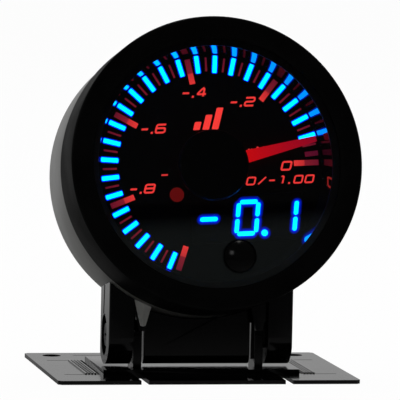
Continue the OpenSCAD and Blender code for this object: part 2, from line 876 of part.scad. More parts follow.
// Places of a row of contacts in one socket
module contact_row(side, count) {
    for (i = [0:count - 1])
        translate([side * socket_x + (i - (count - 1) / 2) * header_step, 0]) children();
}

module all_contacts() {
    contact_row(-1, power_contacts) children();
    contact_row(1, sensor_contacts) children();
}

module connector_board() {
    color([0.05, 0.3, 0.12]) at_dial() slab(connector_face, connector_back) difference() {
        intersection() {
            translate([-connector_w / 2, -connector_low])
                square([connector_w, connector_low + connector_top]);
            circle(r = board_r);
        }
        header_places() circle(r = contact_r + snug);
        all_contacts() circle(r = contact_r + snug);
    }
}

// A socket shell, open to the back
module socket(side) {
    at_dial() translate([side * socket_x, 0, 0]) difference() {
        block([0, 0], [socket_w, socket_h], connector_back, socket_back);
        block([0, 0], [socket_w - 2 * socket_wall, socket_h - 2 * socket_wall],
              socket_back - socket_deep, socket_back + cut);
        translate([-side * socket_x, 0, 0])
            slab(connector_back - cut, socket_back) all_contacts() circle(r = contact_r + snug);
    }
}

module power_socket() {
    color([0.85, 0.85, 0.82]) socket(-1);
}

module sensor_socket() {
    color([0.12, 0.12, 0.12]) socket(1);
}

module socket_pins() {
    color([0.85, 0.7, 0.3]) at_dial()
        slab(connector_face - pin_over, socket_back - socket_deep + contact_len)
            all_contacts() circle(r = contact_r);
}

module can() {
    color([0.1, 0.1, 0.1]) at_dial() difference() {
        union() {
            difference() {
                drum(can_r, dial_back, can_back);
                drum(can_in_r, dial_back - cut, can_back + cut);
            }
            at_posts() drum(post_r, board_back, cover_face);
        }
        at_posts() {
            drum(pilot_r, board_back - cut, board_back + screw_len);
            drum(pilot_r, cover_face - screw_len, cover_face + cut);
        }
    }
}

module rear_cover() {
    color([0.1, 0.1, 0.1]) at_dial() difference() {
        drum(can_in_r - snug, cover_face, can_back);
        at_posts() drum(screw_hole_r, cover_face - cut, can_back + cut);
        for (side = [-1, 1]) block([side * socket_x, 0],
            [socket_w + 2 * window_gap, socket_h + 2 * window_gap], cover_face - cut, can_back + cut);
    }
}

module rear_screws() {
    color([0.7, 0.7, 0.72]) at_dial() at_posts() small_screw(can_back, false);
}

// The radial line of a leg's screw, with the cup's axis as zero
module at_leg_screws() {
    at_cup() for (side = [-1, 1])
        translate([0, 0, -leg_screw_depth]) rotate([0, 0, side * leg_screw_angle]) rotate([90, 0, 0])
            children();
}

module cup() {
    color([0.2, 0.2, 0.19]) difference() {
        at_cup() rotate_extrude() polygon([
            [cup_in_r, -cup_front], [cup_front_r - seam_edge, -cup_front],
            [cup_front_r, -cup_front - seam_edge], [cup_back_r, seam_edge - cup_back],
            [cup_back_r - seam_edge, -cup_back], [cup_in_r - cup_lip_w, -cup_back],
            [cup_in_r - cup_lip_w, cup_lip_t - cup_back], [cup_in_r, cup_lip_t - cup_back]]);
        at_leg_screws() {
            cylinder(r = screw_head_r + snug, h = cup_in_r + leg_screw_head);
            cylinder(r = screw_hole_r, h = cup_front_r + cut);
        }
    }
}

module cup_liner() {
    color([0.16, 0.16, 0.16]) at_cup() difference() {
        drum(cup_in_r, liner_front, liner_back);
        drum(can_r + run, liner_front - cut, liner_back + cut);
    }
}

// The space that the cup takes, for the pieces that fit against it
module cup_space() {
    at_cup() drum(cup_front_r + snug, 0, cup_back + cup_front_r);
}

// Side view of a leg: a round foot about the tilt axis that widens to the cup
module leg_side() {
    polygon(concat(
        [[pivot_y + lug_r + leg_flare, leg_top], [pivot_y - lug_r, leg_top]],
        arc([pivot_y, pivot_up], lug_r, 180, 360, 2 * round_steps)));
}

// Plan of a leg on the right, rounded at its outer edges
module leg_plan() {
    front = pivot_y - lug_r - cut;
    back = pivot_y + lug_r + leg_flare;
    polygon(concat(
        [[leg_in, front + cut], [leg_in, back]],
        arc([leg_out - leg_round, back - leg_round], leg_round, 90, 0),
        arc([leg_out - leg_edge, front + cut + leg_edge], leg_edge, 0, -90)));
}

// The oval recess, seen from the side
module recess_side() {
    straight = recess_h - recess_w;
    translate([pivot_y, pivot_up]) {
        for (end = [-1, 1]) translate([0, end * straight / 2]) circle(r = recess_w / 2);
        square([recess_w, straight], center = true);
    }
}

// The faint channel that runs from the recess up to the cup
module channel_side() {
    low = pivot_up + recess_h / 2;
    polygon([[pivot_y - recess_w / 4, low], [pivot_y + recess_w / 4, low],
             [pivot_y, leg_top - recess_w]]);
}

// A wedge between a leg and the cup, ridged in front and narrow at its lower end
module gusset() {
    low = pivot_up + gusset_up;
    outer = leg_in + snug;
    full = cup_under(outer, gusset_front) - gusset_hold;
    inner = outer - gusset_w;
    mid = (inner + outer) / 2;
    intersection() {
        translate([0, gusset_front + gusset_d, 0]) rotate([90, 0, 0]) linear_extrude(gusset_d)
            polygon([[mid - gusset_tip_w / 2, low], [inner, full], [inner, leg_top],
                     [outer, leg_top], [outer, full], [mid + gusset_tip_w / 2, low]]);
        linear_extrude(face_up) polygon([
            [outer, gusset_front + gusset_d / 3], [mid, gusset_front],
            [inner, gusset_front + gusset_d / 3], [inner, gusset_front + gusset_d],
            [outer, gusset_front + gusset_d]]);
    }
}

module leg() {
    difference() {
        union() {
            intersection() {
                along_x(leg_in, leg_out) leg_side();
                linear_extrude(face_up) leg_plan();
            }
            gusset();
        }
        cup_space();
        along_x(leg_out - recess_deep, leg_out + cut) recess_side();
        along_x(leg_out - channel_deep, leg_out + cut) channel_side();
        on_pivot(pivot_r + run, leg_in - cut, leg_out + cut);
        at_leg_screws() cylinder(r = pilot_r, h = cup_in_r + leg_screw_head + leg_screw_len);
    }
}

module right_leg() {
    color([0.04, 0.04, 0.04]) leg();
}

module left_leg() {
    color([0.04, 0.04, 0.04]) mirror([1, 0, 0]) leg();
}

// Side view of the panel: its foot is rounded in front and keeps inside the circle of the legs' feet
module panel_side_view() {
    foot_r = panel_t / 2;
    foot_y = panel_face + foot_r;
    foot_turn = 360 - acos((foot_y - pivot_y) / (lug_r - foot_r));
    back_turn = 360 - acos((panel_back - pivot_y) / lug_r);
    foot_up = pivot_up + (lug_r - foot_r) * sin(foot_turn);
    polygon(concat(
        [[panel_back, leg_top], [panel_face, leg_top]],
        arc([foot_y, foot_up], foot_r, 180, foot_turn),
        [[panel_back, pivot_up + lug_r * sin(back_turn)]]));
}

module centre_panel() {
    shoulder_low = pivot_up + ear_r + pass;
    shoulder_half = leg_in - snug;
    color([0.04, 0.04, 0.04]) difference() {
        union() {
            along_x(-panel_half, panel_half) panel_side_view();
            along_x(-shoulder_half, shoulder_half)
                translate([panel_face + shoulder_in, shoulder_low])
                    square([panel_t - shoulder_in, leg_top - shoulder_low]);
        }
        cup_space();
    }
}

module leg_screws() {
    color([0.7, 0.7, 0.72]) at_leg_screws() {
        translate([0, 0, cup_in_r]) cylinder(r = screw_head_r, h = leg_screw_head);
        translate([0, 0, cup_in_r + leg_screw_head / 2])
            cylinder(r = screw_r, h = leg_screw_head / 2 + leg_screw_len);
    }
}

module pivot_screw() {
    floor_x = leg_out - recess_deep + 2 * snug;
    difference() {
        union() {
            on_pivot(pivot_head_r, floor_x, floor_x + pivot_head_t);
            on_pivot(pivot_r, ear_in, floor_x + pivot_head_t / 2);
        }
        translate([floor_x + pivot_head_t, pivot_y, pivot_up]) for (turn = [0, 90])
            rotate([turn, 0, 0]) cube([pivot_head_t, pivot_head_r, pivot_r / 3], center = true);
    }
}

module pivot_screws() {
    color([0.25, 0.25, 0.26]) {
        pivot_screw();
        mirror([1, 0, 0]) pivot_screw();
    }
}

module pivot_washer() {
    difference() {
        on_pivot(washer_r, ear_out + snug, leg_in - snug);
        on_pivot(pivot_r + snug, ear_out, leg_in);
    }
}

module pivot_washers() {
    color([0.8, 0.8, 0.78]) {
        pivot_washer();
        mirror([1, 0, 0]) pivot_washer();
    }
}

// One ear of the hinge, standing on the bed
module ear() {
    difference() {
        union() {
            on_pivot(ear_r, ear_in, ear_out);
            translate([ear_in, pivot_y - ear_r, base_t]) cube([ear_w, 2 * ear_r, pivot_up - base_t]);
        }
        on_pivot(pivot_r + snug / 2, ear_in - cut, ear_out + cut);
    }
}

// The slot round one tongue, and the slit behind the bed, on the right side
module wing_cuts() {
    translate([hole_x, hole_y, -cut]) cylinder(d = hole_d, h = bed_top);
    translate([tongue_tip - tongue_slot, tongue_y - tongue_slot, -cut])
        difference() {
            cube([tongue_w + tongue_slot, tongue_len + 2 * tongue_slot, bed_top + cut]);
            translate([tongue_slot, tongue_slot, -cut])
                cube([tongue_w + cut, tongue_len, bed_top + 3 * cut]);
        }
    translate([hole_x - hole_d / 2 - back_slit_in - back_slit_len, hole_y, -cut])
        cube([back_slit_len, back_slit_w, bed_top]);
}

// Ribs on a tongue's tip
module tongue_grip() {
    for (i = [0:rib_count - 1])
        translate([tongue_tip + (2 * i + 1) * rib_w, tongue_y + rib_w, base_t / 2])
            cube([rib_w, tongue_len - 2 * rib_w, base_t / 2 + rib_h]);
}

// Plan of the base plate with its corners cut
module base_plan() {
    x = base_w / 2;
    y = base_d / 2;
    c = wing_corner;
    polygon([[c - x, -y], [x - c, -y], [x, c - y], [x, y - c],
             [x - c, y], [c - x, y], [-x, y - c], [-x, c - y]]);
}

module base_plate() {
    color([0.06, 0.06, 0.06]) difference() {
        union() {
            linear_extrude(base_t) base_plan();
            translate([-bed_w / 2, bed_front, base_t / 2]) cube([bed_w, bed_d, bed_top - base_t / 2]);
            ear();
            mirror([1, 0, 0]) ear();
            tongue_grip();
            mirror([1, 0, 0]) tongue_grip();
        }
        wing_cuts();
        mirror([1, 0, 0]) wing_cuts();
        for (x = [-slit_left - slit_w, slit_right])
            translate([x, -base_d / 2 - cut, -cut]) cube([slit_w, bed_in + cut, bed_top]);
        translate([0, 0, -cut]) linear_extrude(pad_t + cut) pad_plans();
    }
}

// Plans of the adhesive pads: one under the bed and one between the slits in front of it
module pad_plans() {
    back = hole_y - hole_d / 2 - pad_edge;
    translate([-bed_w / 2 + pad_edge, bed_front]) square([bed_w - 2 * pad_edge, back - bed_front]);
    translate([-slit_left + pad_edge, -base_d / 2 + pad_edge])
        square([centre_pad_w, bed_in - 2 * pad_edge]);
}

module adhesive_pads() {
    color([0.3, 0.3, 0.3]) linear_extrude(pad_t) pad_plans();
}

bezel_ring();
lens();
lens_gasket();
spacer_ring();
dial();
tick_bars();
light_guide();
hub_cap();
needle();
spindle();
drive_wheel();
pinion();
rotor_magnet();
rotor_pin();
stator();
coils();
motor_case();
motor_cover();
display_module();
lit_segments();
dark_segments();
warning_lens();
warning_led();
tick_leds();
main_board();
board_screws();
button_cap();
switch_plunger();
switch_body();
header_pins();
connector_board();
power_socket();
sensor_socket();
socket_pins();
can();
rear_cover();
rear_screws();
cup();
cup_liner();
left_leg();
right_leg();
centre_panel();
leg_screws();
pivot_screws();
pivot_washers();
base_plate();
adhesive_pads();
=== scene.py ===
# %% [markdown]
# # A vacuum gauge on a tilting stand
# This lesson dresses a small round car gauge: a black cup on two legs, a deep bezel, and behind a
# smoked lens a dial that lights up by itself. Nearly everything is black, so the form has to come
# from edges, gloss and light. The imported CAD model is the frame, and all pieces are placed from it.

import json
import math

import bmesh
import bpy
from mathutils import Matrix, Vector

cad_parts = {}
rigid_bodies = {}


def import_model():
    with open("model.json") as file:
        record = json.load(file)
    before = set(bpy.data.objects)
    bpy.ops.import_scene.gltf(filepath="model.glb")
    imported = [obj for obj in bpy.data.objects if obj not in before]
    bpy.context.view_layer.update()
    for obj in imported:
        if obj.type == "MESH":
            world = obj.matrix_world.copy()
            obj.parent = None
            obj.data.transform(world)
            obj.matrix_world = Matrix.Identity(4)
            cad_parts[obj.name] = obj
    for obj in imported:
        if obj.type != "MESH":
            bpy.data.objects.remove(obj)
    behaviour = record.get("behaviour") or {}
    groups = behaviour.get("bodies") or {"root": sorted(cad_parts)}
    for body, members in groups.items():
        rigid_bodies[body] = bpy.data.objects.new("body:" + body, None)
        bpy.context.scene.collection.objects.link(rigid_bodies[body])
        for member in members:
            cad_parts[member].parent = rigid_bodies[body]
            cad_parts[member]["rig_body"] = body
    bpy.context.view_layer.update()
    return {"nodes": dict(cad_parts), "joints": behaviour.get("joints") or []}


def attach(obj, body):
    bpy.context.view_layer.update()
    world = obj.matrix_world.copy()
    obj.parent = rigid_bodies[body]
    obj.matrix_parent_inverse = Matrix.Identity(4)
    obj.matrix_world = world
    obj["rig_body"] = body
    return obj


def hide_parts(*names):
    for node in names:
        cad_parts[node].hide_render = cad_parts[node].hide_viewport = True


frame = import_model()
nodes = frame["nodes"]

# %% [markdown]
# The gauge leans back in its cup, and its dial is turned a little in it. Both could be typed as
# angles, but the frame already knows them: the joint that turns the gauge gives the axis and the
# middle of the bezel's face. Every gauge piece is then drawn flat, with its depth counted backwards
# from the face, and one matrix carries it onto the stand.

# %% The gauge's own axes
MM = 0.001
DIAL_TURN = math.radians(2.5)
joint_of = {joint["name"]: joint for joint in frame["joints"]}
axis_out = Vector(joint_of["gauge_turn"]["axis"]).normalized()
face_middle = Vector(joint_of["gauge_turn"]["pos_m"])
pivot = Vector(joint_of["stand_tilt"]["pos_m"])
across = Vector((1, 0, 0))
upward = axis_out.cross(across)
cup_place = Matrix.Translation(face_middle) @ Matrix((across, upward, axis_out)).transposed().to_4x4()
dial_place = cup_place @ Matrix.Rotation(DIAL_TURN, 4, "Z")
print("lean in degrees:", round(math.degrees(math.asin(axis_out.z)), 2))

# %% [markdown]
# The photograph was taken from far away with a long lens, a little from the left and from above,
# and the camera was not quite level. A long lens keeps the bezel round. The camera looks at a point
# in the middle of the gauge, so three angles, one distance and one focal length describe it fully.

# %% The camera
LOOK_AT = Vector((-3.25, -25.5, 40.92)) * MM
DISTANCE = 967.7 * MM
FOCAL_LENGTH = 395.8
SENSOR = 36
YAW, PITCH, ROLL = math.radians(10.91), math.radians(4.85), math.radians(1.19)

ahead = Vector((math.sin(YAW) * math.cos(PITCH), math.cos(YAW) * math.cos(PITCH), -math.sin(PITCH)))
level = Vector((math.cos(YAW), -math.sin(YAW), 0))
above = level.cross(ahead)
right = level * math.cos(ROLL) + above * math.sin(ROLL)
top = above * math.cos(ROLL) - level * math.sin(ROLL)
camera_data = bpy.data.cameras.new("camera")
camera_data.lens = FOCAL_LENGTH
camera_data.sensor_width = SENSOR
camera_data.sensor_fit = "HORIZONTAL"
camera_data.clip_end = 10
camera = bpy.data.objects.new("camera", camera_data)
turned = Matrix((right, top, -ahead)).transposed().to_4x4()
camera.matrix_world = Matrix.Translation(LOOK_AT - ahead * DISTANCE) @ turned
bpy.context.scene.collection.objects.link(camera)
bpy.context.scene.camera = camera
print("camera at", [round(v, 3) for v in camera.location])

# %% [markdown]
# All finishes are made of the same few steps. A noise gives an uneven value that sticks to the
# piece, and that value is then spread between two numbers or two colours. With a helper for each
# step, a finish reads as a short list, and Blender's many nodes stay out of the way.

# %% Steps that every finish uses
def new_material(name):
    """An empty node material and its two ends."""
    material = bpy.data.materials.new(name)
    material.use_nodes = True
    tree = material.node_tree
    return material, tree.nodes, tree.links, tree.nodes["Principled BSDF"]


def add_noise(tree_nodes, tree_links, scale, detail=3.0):
    """A noise that sticks to the piece."""
    where = tree_nodes.new("ShaderNodeTexCoord")
    noise = tree_nodes.new("ShaderNodeTexNoise")
    noise.inputs["Scale"].default_value = scale
    noise.inputs["Detail"].default_value = detail
    tree_links.new(where.outputs["Object"], noise.inputs["Vector"])
    return noise.outputs["Fac"]


def spread(tree_nodes, tree_links, value, low, high, start=0.3, stop=0.7):
    """A value between start and stop, spread between two other numbers."""
    node = tree_nodes.new("ShaderNodeMapRange")
    for socket, number in (("From Min", start), ("From Max", stop), ("To Min", low), ("To Max", high)):
        node.inputs[socket].default_value = number
    tree_links.new(value, node.inputs["Value"])
    return node.outputs["Result"]


def tint(tree_nodes, tree_links, value, dark, light):
    """A colour between two others, by a value."""
    ramp = tree_nodes.new("ShaderNodeValToRGB")
    ramp.color_ramp.elements[0].color = (*dark, 1)
    ramp.color_ramp.elements[1].color = (*light, 1)
    ramp.color_ramp.elements[0].position = 0.3
    ramp.color_ramp.elements[1].position = 0.75
    tree_links.new(value, ramp.inputs["Fac"])
    return ramp.outputs["Color"]


print("materials in the packed model:", len(bpy.data.materials))

# %% [markdown]
# A finish on moulded plastic is never one flat value. The mould leaves a fine grain, hands leave
# faint dull patches, and dust makes the black uneven. A bitmap could hold that, but noise textures
# need no unwrapping and stay sharp at any size, so every plastic here is the same recipe with its
# own numbers: one soft noise steers colour and roughness, and a fine one makes the bump.

# %% A recipe for moulded plastic
GRAIN_PER_METRE = 9000
SMEAR_PER_METRE = 90
BUMP_HEIGHT = 0.02 * MM


def moulded(name, colour, rough, gloss=0.5, grain=0.15, grain_scale=GRAIN_PER_METRE, smear=0.15,
            coat=0.0, coat_rough=0.1, lighter=1.6):
    """Plastic out of a mould: grain, dull patches and a slightly uneven colour."""
    material, tree_nodes, tree_links, shader = new_material(name)
    patches = add_noise(tree_nodes, tree_links, SMEAR_PER_METRE)
    pale = tuple(min(1, channel * lighter) for channel in colour)
    tree_links.new(tint(tree_nodes, tree_links, patches, colour, pale), shader.inputs["Base Color"])
    rough_low, rough_high = rough * (1 - smear), rough * (1 + smear)
    tree_links.new(spread(tree_nodes, tree_links, patches, rough_low, rough_high),
                   shader.inputs["Roughness"])
    shader.inputs["Specular IOR Level"].default_value = gloss
    shader.inputs["Coat Weight"].default_value = coat
    shader.inputs["Coat Roughness"].default_value = coat_rough
    bump = tree_nodes.new("ShaderNodeBump")
    bump.inputs["Strength"].default_value = grain
    bump.inputs["Distance"].default_value = BUMP_HEIGHT
    tree_links.new(add_noise(tree_nodes, tree_links, grain_scale, 2.0), bump.inputs["Height"])
    tree_links.new(bump.outputs["Normal"], shader.inputs["Normal"])
    return material


print("grains in a millimetre:", GRAIN_PER_METRE * MM)

# %% [markdown]
# The blacks differ in gloss more than in colour. The bezel is so dull that it shows as one flat black
# shape, the stand is polished, the cone mirrors, and the cup is a satin whose paler colour is a painted
# sheen. Beside them stand the few coloured plastics of the inside and the rear.

# %% The plastics
bezel_black = moulded("bezel_black", (0.0025, 0.0025, 0.0025), 0.4, gloss=0.008, grain=0.3)
# The cup's colour is paler than its black plastic: a painted sheen for the side light on its wall.
cup_black = moulded("cup_black", (0.06, 0.06, 0.055), 0.32, gloss=1.0, grain=0.2, lighter=1.15)
stand_black = moulded("stand_black", (0.0015, 0.0015, 0.0017), 0.12, gloss=0.4, grain=0.08)
housing_black = moulded("housing_black", (0.02, 0.02, 0.02), 0.5, grain=0.45)
# The rib's pale grey is a painted reflection of the light that the floor throws back.
rib_painted_reflection = moulded("rib_painted_reflection", (0.24, 0.24, 0.225), 0.35)
cone_black = moulded("cone_black", (0.004, 0.004, 0.005), 0.06, gloss=1.0, grain=0.02, coat=1.0,
                     coat_rough=0.05)
dial_black = moulded("dial_black", (0.002, 0.002, 0.0025), 0.55, gloss=0.2, grain=0.3)
button_black = moulded("button_black", (0.002, 0.002, 0.002), 0.15, gloss=0.35, grain=0.05)
cap_black = moulded("cap_black", (0.0015, 0.0015, 0.0015), 0.35, gloss=0.12, grain=0.1)
socket_white = moulded("socket_white", (0.62, 0.61, 0.56), 0.4, lighter=1.15)
gear_white = moulded("gear_white", (0.7, 0.69, 0.62), 0.45, lighter=1.1)
rubber_black = moulded("rubber_black", (0.02, 0.02, 0.02), 0.75, grain=0.6)
foam_grey = moulded("foam_grey", (0.14, 0.14, 0.14), 0.95, gloss=0.1, grain=1.0, grain_scale=2500)
board_green = moulded("board_green", (0.012, 0.09, 0.03), 0.35, lighter=1.5, coat=0.4)
print("materials so far:", len(bpy.data.materials))

# %% [markdown]
# Metals differ from plastics in having no colour under their gloss: the colour is the reflection.
# The small screws and pins are turned or drawn, so their roughness runs in fine streaks. A wave
# texture along the piece would show too evenly at this size, and a stretched noise does better.

# %% Metals
STREAKS_PER_METRE = (400, 400, 30000)


def drawn_metal(name, colour, rough):
    """Turned or drawn metal with fine streaks in its gloss."""
    material, tree_nodes, tree_links, shader = new_material(name)
    where = tree_nodes.new("ShaderNodeTexCoord")
    stretch = tree_nodes.new("ShaderNodeMapping")
    stretch.inputs["Scale"].default_value = STREAKS_PER_METRE
    noise = tree_nodes.new("ShaderNodeTexNoise")
    noise.inputs["Scale"].default_value = 1.0
    tree_links.new(where.outputs["Object"], stretch.inputs["Vector"])
    tree_links.new(stretch.outputs["Vector"], noise.inputs["Vector"])
    fac = noise.outputs["Fac"]
    dark = tuple(channel * 0.75 for channel in colour)
    tree_links.new(tint(tree_nodes, tree_links, fac, dark, colour), shader.inputs["Base Color"])
    tree_links.new(spread(tree_nodes, tree_links, fac, rough * 0.7, rough * 1.3),
                   shader.inputs["Roughness"])
    shader.inputs["Metallic"].default_value = 1.0
    return material


steel = drawn_metal("steel", (0.6, 0.6, 0.62), 0.3)
dark_steel = drawn_metal("dark_steel", (0.07, 0.07, 0.075), 0.35)
copper_wire = drawn_metal("copper_wire", (0.7, 0.3, 0.14), 0.35)
gold_plate = drawn_metal("gold_plate", (0.85, 0.6, 0.24), 0.25)
magnet_grey = drawn_metal("magnet_grey", (0.16, 0.16, 0.17), 0.55)
print("metals made: 5")

# %% [markdown]
# The dial is lit through its windows. Real lamps behind it would need many samples for a small
# glow, so the lit faces give light themselves. Print that is lit from behind is brightest where a
# lamp stands and fades away from it. A number stored on each vertex holds that fade, and the
# material reads it, which is easier to steer than a texture and moves with the piece.

# %% Finishes that glow
GLOW = "glow"
MOTTLE_PER_METRE = 1500


def lit(name, dim, bright, strength):
    """Print or plastic that glows, from dim to bright by the number on its vertices."""
    material, tree_nodes, tree_links, shader = new_material(name)
    glow = tree_nodes.new("ShaderNodeAttribute")
    glow.attribute_name = GLOW
    ramp = tree_nodes.new("ShaderNodeValToRGB")
    ramp.color_ramp.elements[0].color = (*dim, 1)
    ramp.color_ramp.elements[1].color = (*bright, 1)
    mottle = tree_nodes.new("ShaderNodeMath")
    mottle.operation = "MULTIPLY"
    uneven = add_noise(tree_nodes, tree_links, MOTTLE_PER_METRE)
    tree_links.new(glow.outputs["Fac"], mottle.inputs[0])
    tree_links.new(spread(tree_nodes, tree_links, uneven, 0.94, 1.0), mottle.inputs[1])
    tree_links.new(mottle.outputs["Value"], ramp.inputs["Fac"])
    tree_links.new(ramp.outputs["Color"], shader.inputs["Emission Color"])
    shader.inputs["Emission Strength"].default_value = strength
    shader.inputs["Base Color"].default_value = (*(channel * 0.3 for channel in bright), 1)
    shader.inputs["Roughness"].default_value = 0.5
    shader.inputs["Specular IOR Level"].default_value = 0.1
    return material


lit_blue = lit("lit_blue", (0.0, 0.02, 0.5), (0.0, 0.24, 1.0), 6.8)
blue_rim = lit("blue_rim", (0.0, 0.0, 0.02), (0.0, 0.02, 0.75), 1.6)
print_red = lit("print_red", (0.02, 0.001, 0.012), (1.0, 0.05, 0.035), 1.7)
needle_red = lit("needle_red", (0.12, 0.003, 0.03), (0.8, 0.004, 0.006), 0.85)
# The warning lamp is off: its faint red glow is painted light, standing for the light its lens would
# catch behind the smoked lens.
lamp_red = lit("lamp_red", (0.1, 0.003, 0.003), (0.3, 0.008, 0.006), 1.2)
lamp_body = moulded("lamp_body", (0.7, 0.68, 0.5), 0.3, lighter=1.2)
unlit_grey = moulded("unlit_grey", (0.004, 0.004, 0.005), 0.4, gloss=0.2)
print("materials so far:", len(bpy.data.materials))

# %% [markdown]
# The lens is smoked: it dims the dial a little and hides the inside when the lamps are off. Full
# transmission with a grey colour does that, and a trace of uneven roughness keeps its reflections
# from looking like those of glass.

# %% Clear finishes
def clear(name, colour, rough, index):
    """See-through plastic with a trace of haze."""
    material, tree_nodes, tree_links, shader = new_material(name)
    haze = add_noise(tree_nodes, tree_links, SMEAR_PER_METRE)
    tree_links.new(spread(tree_nodes, tree_links, haze, rough * 0.5, rough * 1.5),
                   shader.inputs["Roughness"])
    paler = tuple(min(1, channel * 1.03) for channel in colour)
    tree_links.new(tint(tree_nodes, tree_links, haze, colour, paler), shader.inputs["Base Color"])
    shader.inputs["Transmission Weight"].default_value = 1.0
    shader.inputs["IOR"].default_value = index
    return material


smoked_lens = clear("smoked_lens", (0.82, 0.82, 0.86), 0.02, 1.49)
clear_plate = clear("clear_plate", (0.85, 0.88, 0.9), 0.05, 1.49)
print("materials in all:", len(bpy.data.materials))

# %% [markdown]
# The CAD nodes that keep their own shape only need a finish. A table from node to material is
# clearer than a line for each, and it shows at a glance that none was forgotten.

# %% Dress the CAD nodes
FINISH_OF = {
    "lens_gasket": rubber_black, "light_guide": clear_plate, "spindle": steel,
    "drive_wheel": gear_white, "pinion": gear_white, "rotor_magnet": magnet_grey,
    "rotor_pin": steel, "stator": steel, "coils": copper_wire, "motor_case": housing_black,
    "motor_cover": housing_black, "display_module": dial_black, "warning_led": lamp_body,
    "tick_leds": lamp_body, "main_board": board_green, "board_screws": steel,
    "switch_plunger": gear_white, "switch_body": housing_black, "header_pins": gold_plate,
    "connector_board": board_green, "socket_pins": gold_plate, "can": housing_black,
    "rear_screws": steel, "cup_liner": rubber_black, "leg_screws": steel,
    "pivot_screws": dark_steel, "pivot_washers": rubber_black, "adhesive_pads": foam_grey,
    "bezel_ring": bezel_black, "lens": smoked_lens, "spacer_ring": cone_black, "dial": dial_black,
    "tick_bars": lit_blue, "hub_cap": dial_black, "needle": needle_red,
    "lit_segments": lit_blue, "dark_segments": unlit_grey, "warning_lens": lamp_red,
    "button_cap": button_black, "power_socket": socket_white, "sensor_socket": housing_black,
    "rear_cover": housing_black, "cup": cup_black, "left_leg": stand_black,
    "right_leg": stand_black, "centre_panel": stand_black, "base_plate": stand_black,
}


def dress(piece, material):
    """Gives a piece one material all over."""
    piece.data.materials.clear()
    piece.data.materials.append(material)


for node_name, material in FINISH_OF.items():
    dress(nodes[node_name], material)
print("nodes dressed:", len(FINISH_OF), "left plain:", sorted(set(nodes) - set(FINISH_OF)))

# %% [markdown]
# A new piece has to be put in the scene, dressed and tied to the body that it moves with, and the CAD
# nodes whose place it takes are hidden. One helper does it, so that no step is forgotten. A second one
# closes the work on a mesh, and a third shades it smoothly but keeps every edge above an angle sharp.

# %% Putting a piece in the scene
SHARP = math.radians(32)


def link(name, mesh, material, body, replaced=()):
    """A new piece in the scene that rides on a body and may stand for CAD nodes."""
    piece = bpy.data.objects.new(name, mesh)
    bpy.context.scene.collection.objects.link(piece)
    dress(piece, material)
    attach(piece, body)
    if replaced:
        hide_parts(*replaced)
    return piece


def smooth(mesh):
    """Smooth shading that keeps real edges sharp."""
    mesh.shade_smooth()
    mesh.set_sharp_from_angle(angle=SHARP)


def made(work, name, place):
    """The mesh of finished work, its faces turned outwards and put in its place."""
    bmesh.ops.recalc_face_normals(work, faces=work.faces)
    mesh = bpy.data.meshes.new(name)
    work.to_mesh(mesh)
    work.free()
    mesh.transform(place)
    return mesh


print("edges stay sharp from, in degrees:", round(math.degrees(SHARP)))

# %% [markdown]
# The bezel, the cup and the other round parts come from moulds that were turned on a lathe, so the
# same is done here: a half outline is spun round the axis. The CAD solids have the right sizes, but
# their few flat facets would show on the rim against white, and a spun mesh can be as fine as
# needed. The rounded edges, which catch the only light on a black part, are drawn in the outline.

# %% A lathe for the round parts
LATHE_STEPS = 192


def corner(radius, depth, size, start, steps=6):
    """Points of a rounded corner of a lathe outline, turning a quarter from the start angle."""
    points = []
    for i in range(steps + 1):
        angle = math.radians(start - 90 * i / steps)
        points.append((radius + size * math.cos(angle), depth - size * math.sin(angle)))
    return points


def lathe(name, outline, place, closed=True, steps=LATHE_STEPS):
    """A mesh spun from points of radius and depth, in millimetres."""
    work = bmesh.new()
    rings = []
    for radius, depth in outline:
        if radius == 0:
            rings.append([work.verts.new((0, 0, -depth * MM))])
            continue
        ring = []
        for i in range(steps):
            angle = 2 * math.pi * i / steps
            ring.append(work.verts.new((radius * math.cos(angle) * MM,
                                        radius * math.sin(angle) * MM, -depth * MM)))
        rings.append(ring)
    pairs = list(zip(rings, rings[1:] + rings[:1])) if closed else list(zip(rings, rings[1:]))
    for first, second in pairs:
        if len(first) == 1 and len(second) == 1:
            continue
        for i in range(steps):
            j = (i + 1) % steps
            loop = [first[i % len(first)], first[j % len(first)],
                    second[j % len(second)], second[i % len(second)]]
            work.faces.new(list(dict.fromkeys(loop)))
    mesh = made(work, name, place)
    smooth(mesh)
    return mesh


print("points round a spun part:", LATHE_STEPS)

# %% [markdown]
# The bezel's face is flat and about 5 mm wide, with a rounded outer edge and a small bevel down to
# the lens. At its back it nearly touches the cup, and a fine dark seam shows between them.

# %% The bezel
BEZEL_R = 32.5
BEZEL_BACK = 15.7
LIP_R = 27.6
LIP_T = 0.9
SEAT_R = 29.0
CAN_R = 30.25
DIAL_BACK = 9.1
FRONT_ROUND = 0.7
LIP_BEVEL = ((0, 0.35), (0.1, 0.12), (0.35, 0))
BACK_BEVEL = 0.08
FIT = 0.05

bezel_outline = [(LIP_R, LIP_T)] + [(LIP_R + outward, depth) for outward, depth in LIP_BEVEL]
bezel_outline += corner(BEZEL_R - FRONT_ROUND, FRONT_ROUND, FRONT_ROUND, 90)
bezel_outline += [(BEZEL_R, BEZEL_BACK - BACK_BEVEL), (BEZEL_R - BACK_BEVEL, BEZEL_BACK),
                  (CAN_R + FIT, BEZEL_BACK), (CAN_R + FIT, DIAL_BACK), (SEAT_R, DIAL_BACK),
                  (SEAT_R, LIP_T)]
bezel = link("bezel", lathe("bezel", bezel_outline, dial_place), bezel_black, "gauge",
             ["bezel_ring"])
print("bezel faces:", len(bezel.data.polygons))

# %% [markdown]
# Between lens and dial sits a glossy cone. It is the part that makes the scale look deep: each lit
# bar shows a second time in it, as in a bent mirror. No trick is needed for that, only a smooth
# cone with the right slope and a gloss that isn't blurred by grain.

# %% The mirroring cone
GASKET_BACK = 2.8
DIAL_FACE = 8.3
CONE_FRONT_R, CONE_BACK_R = 26.2, 25.0

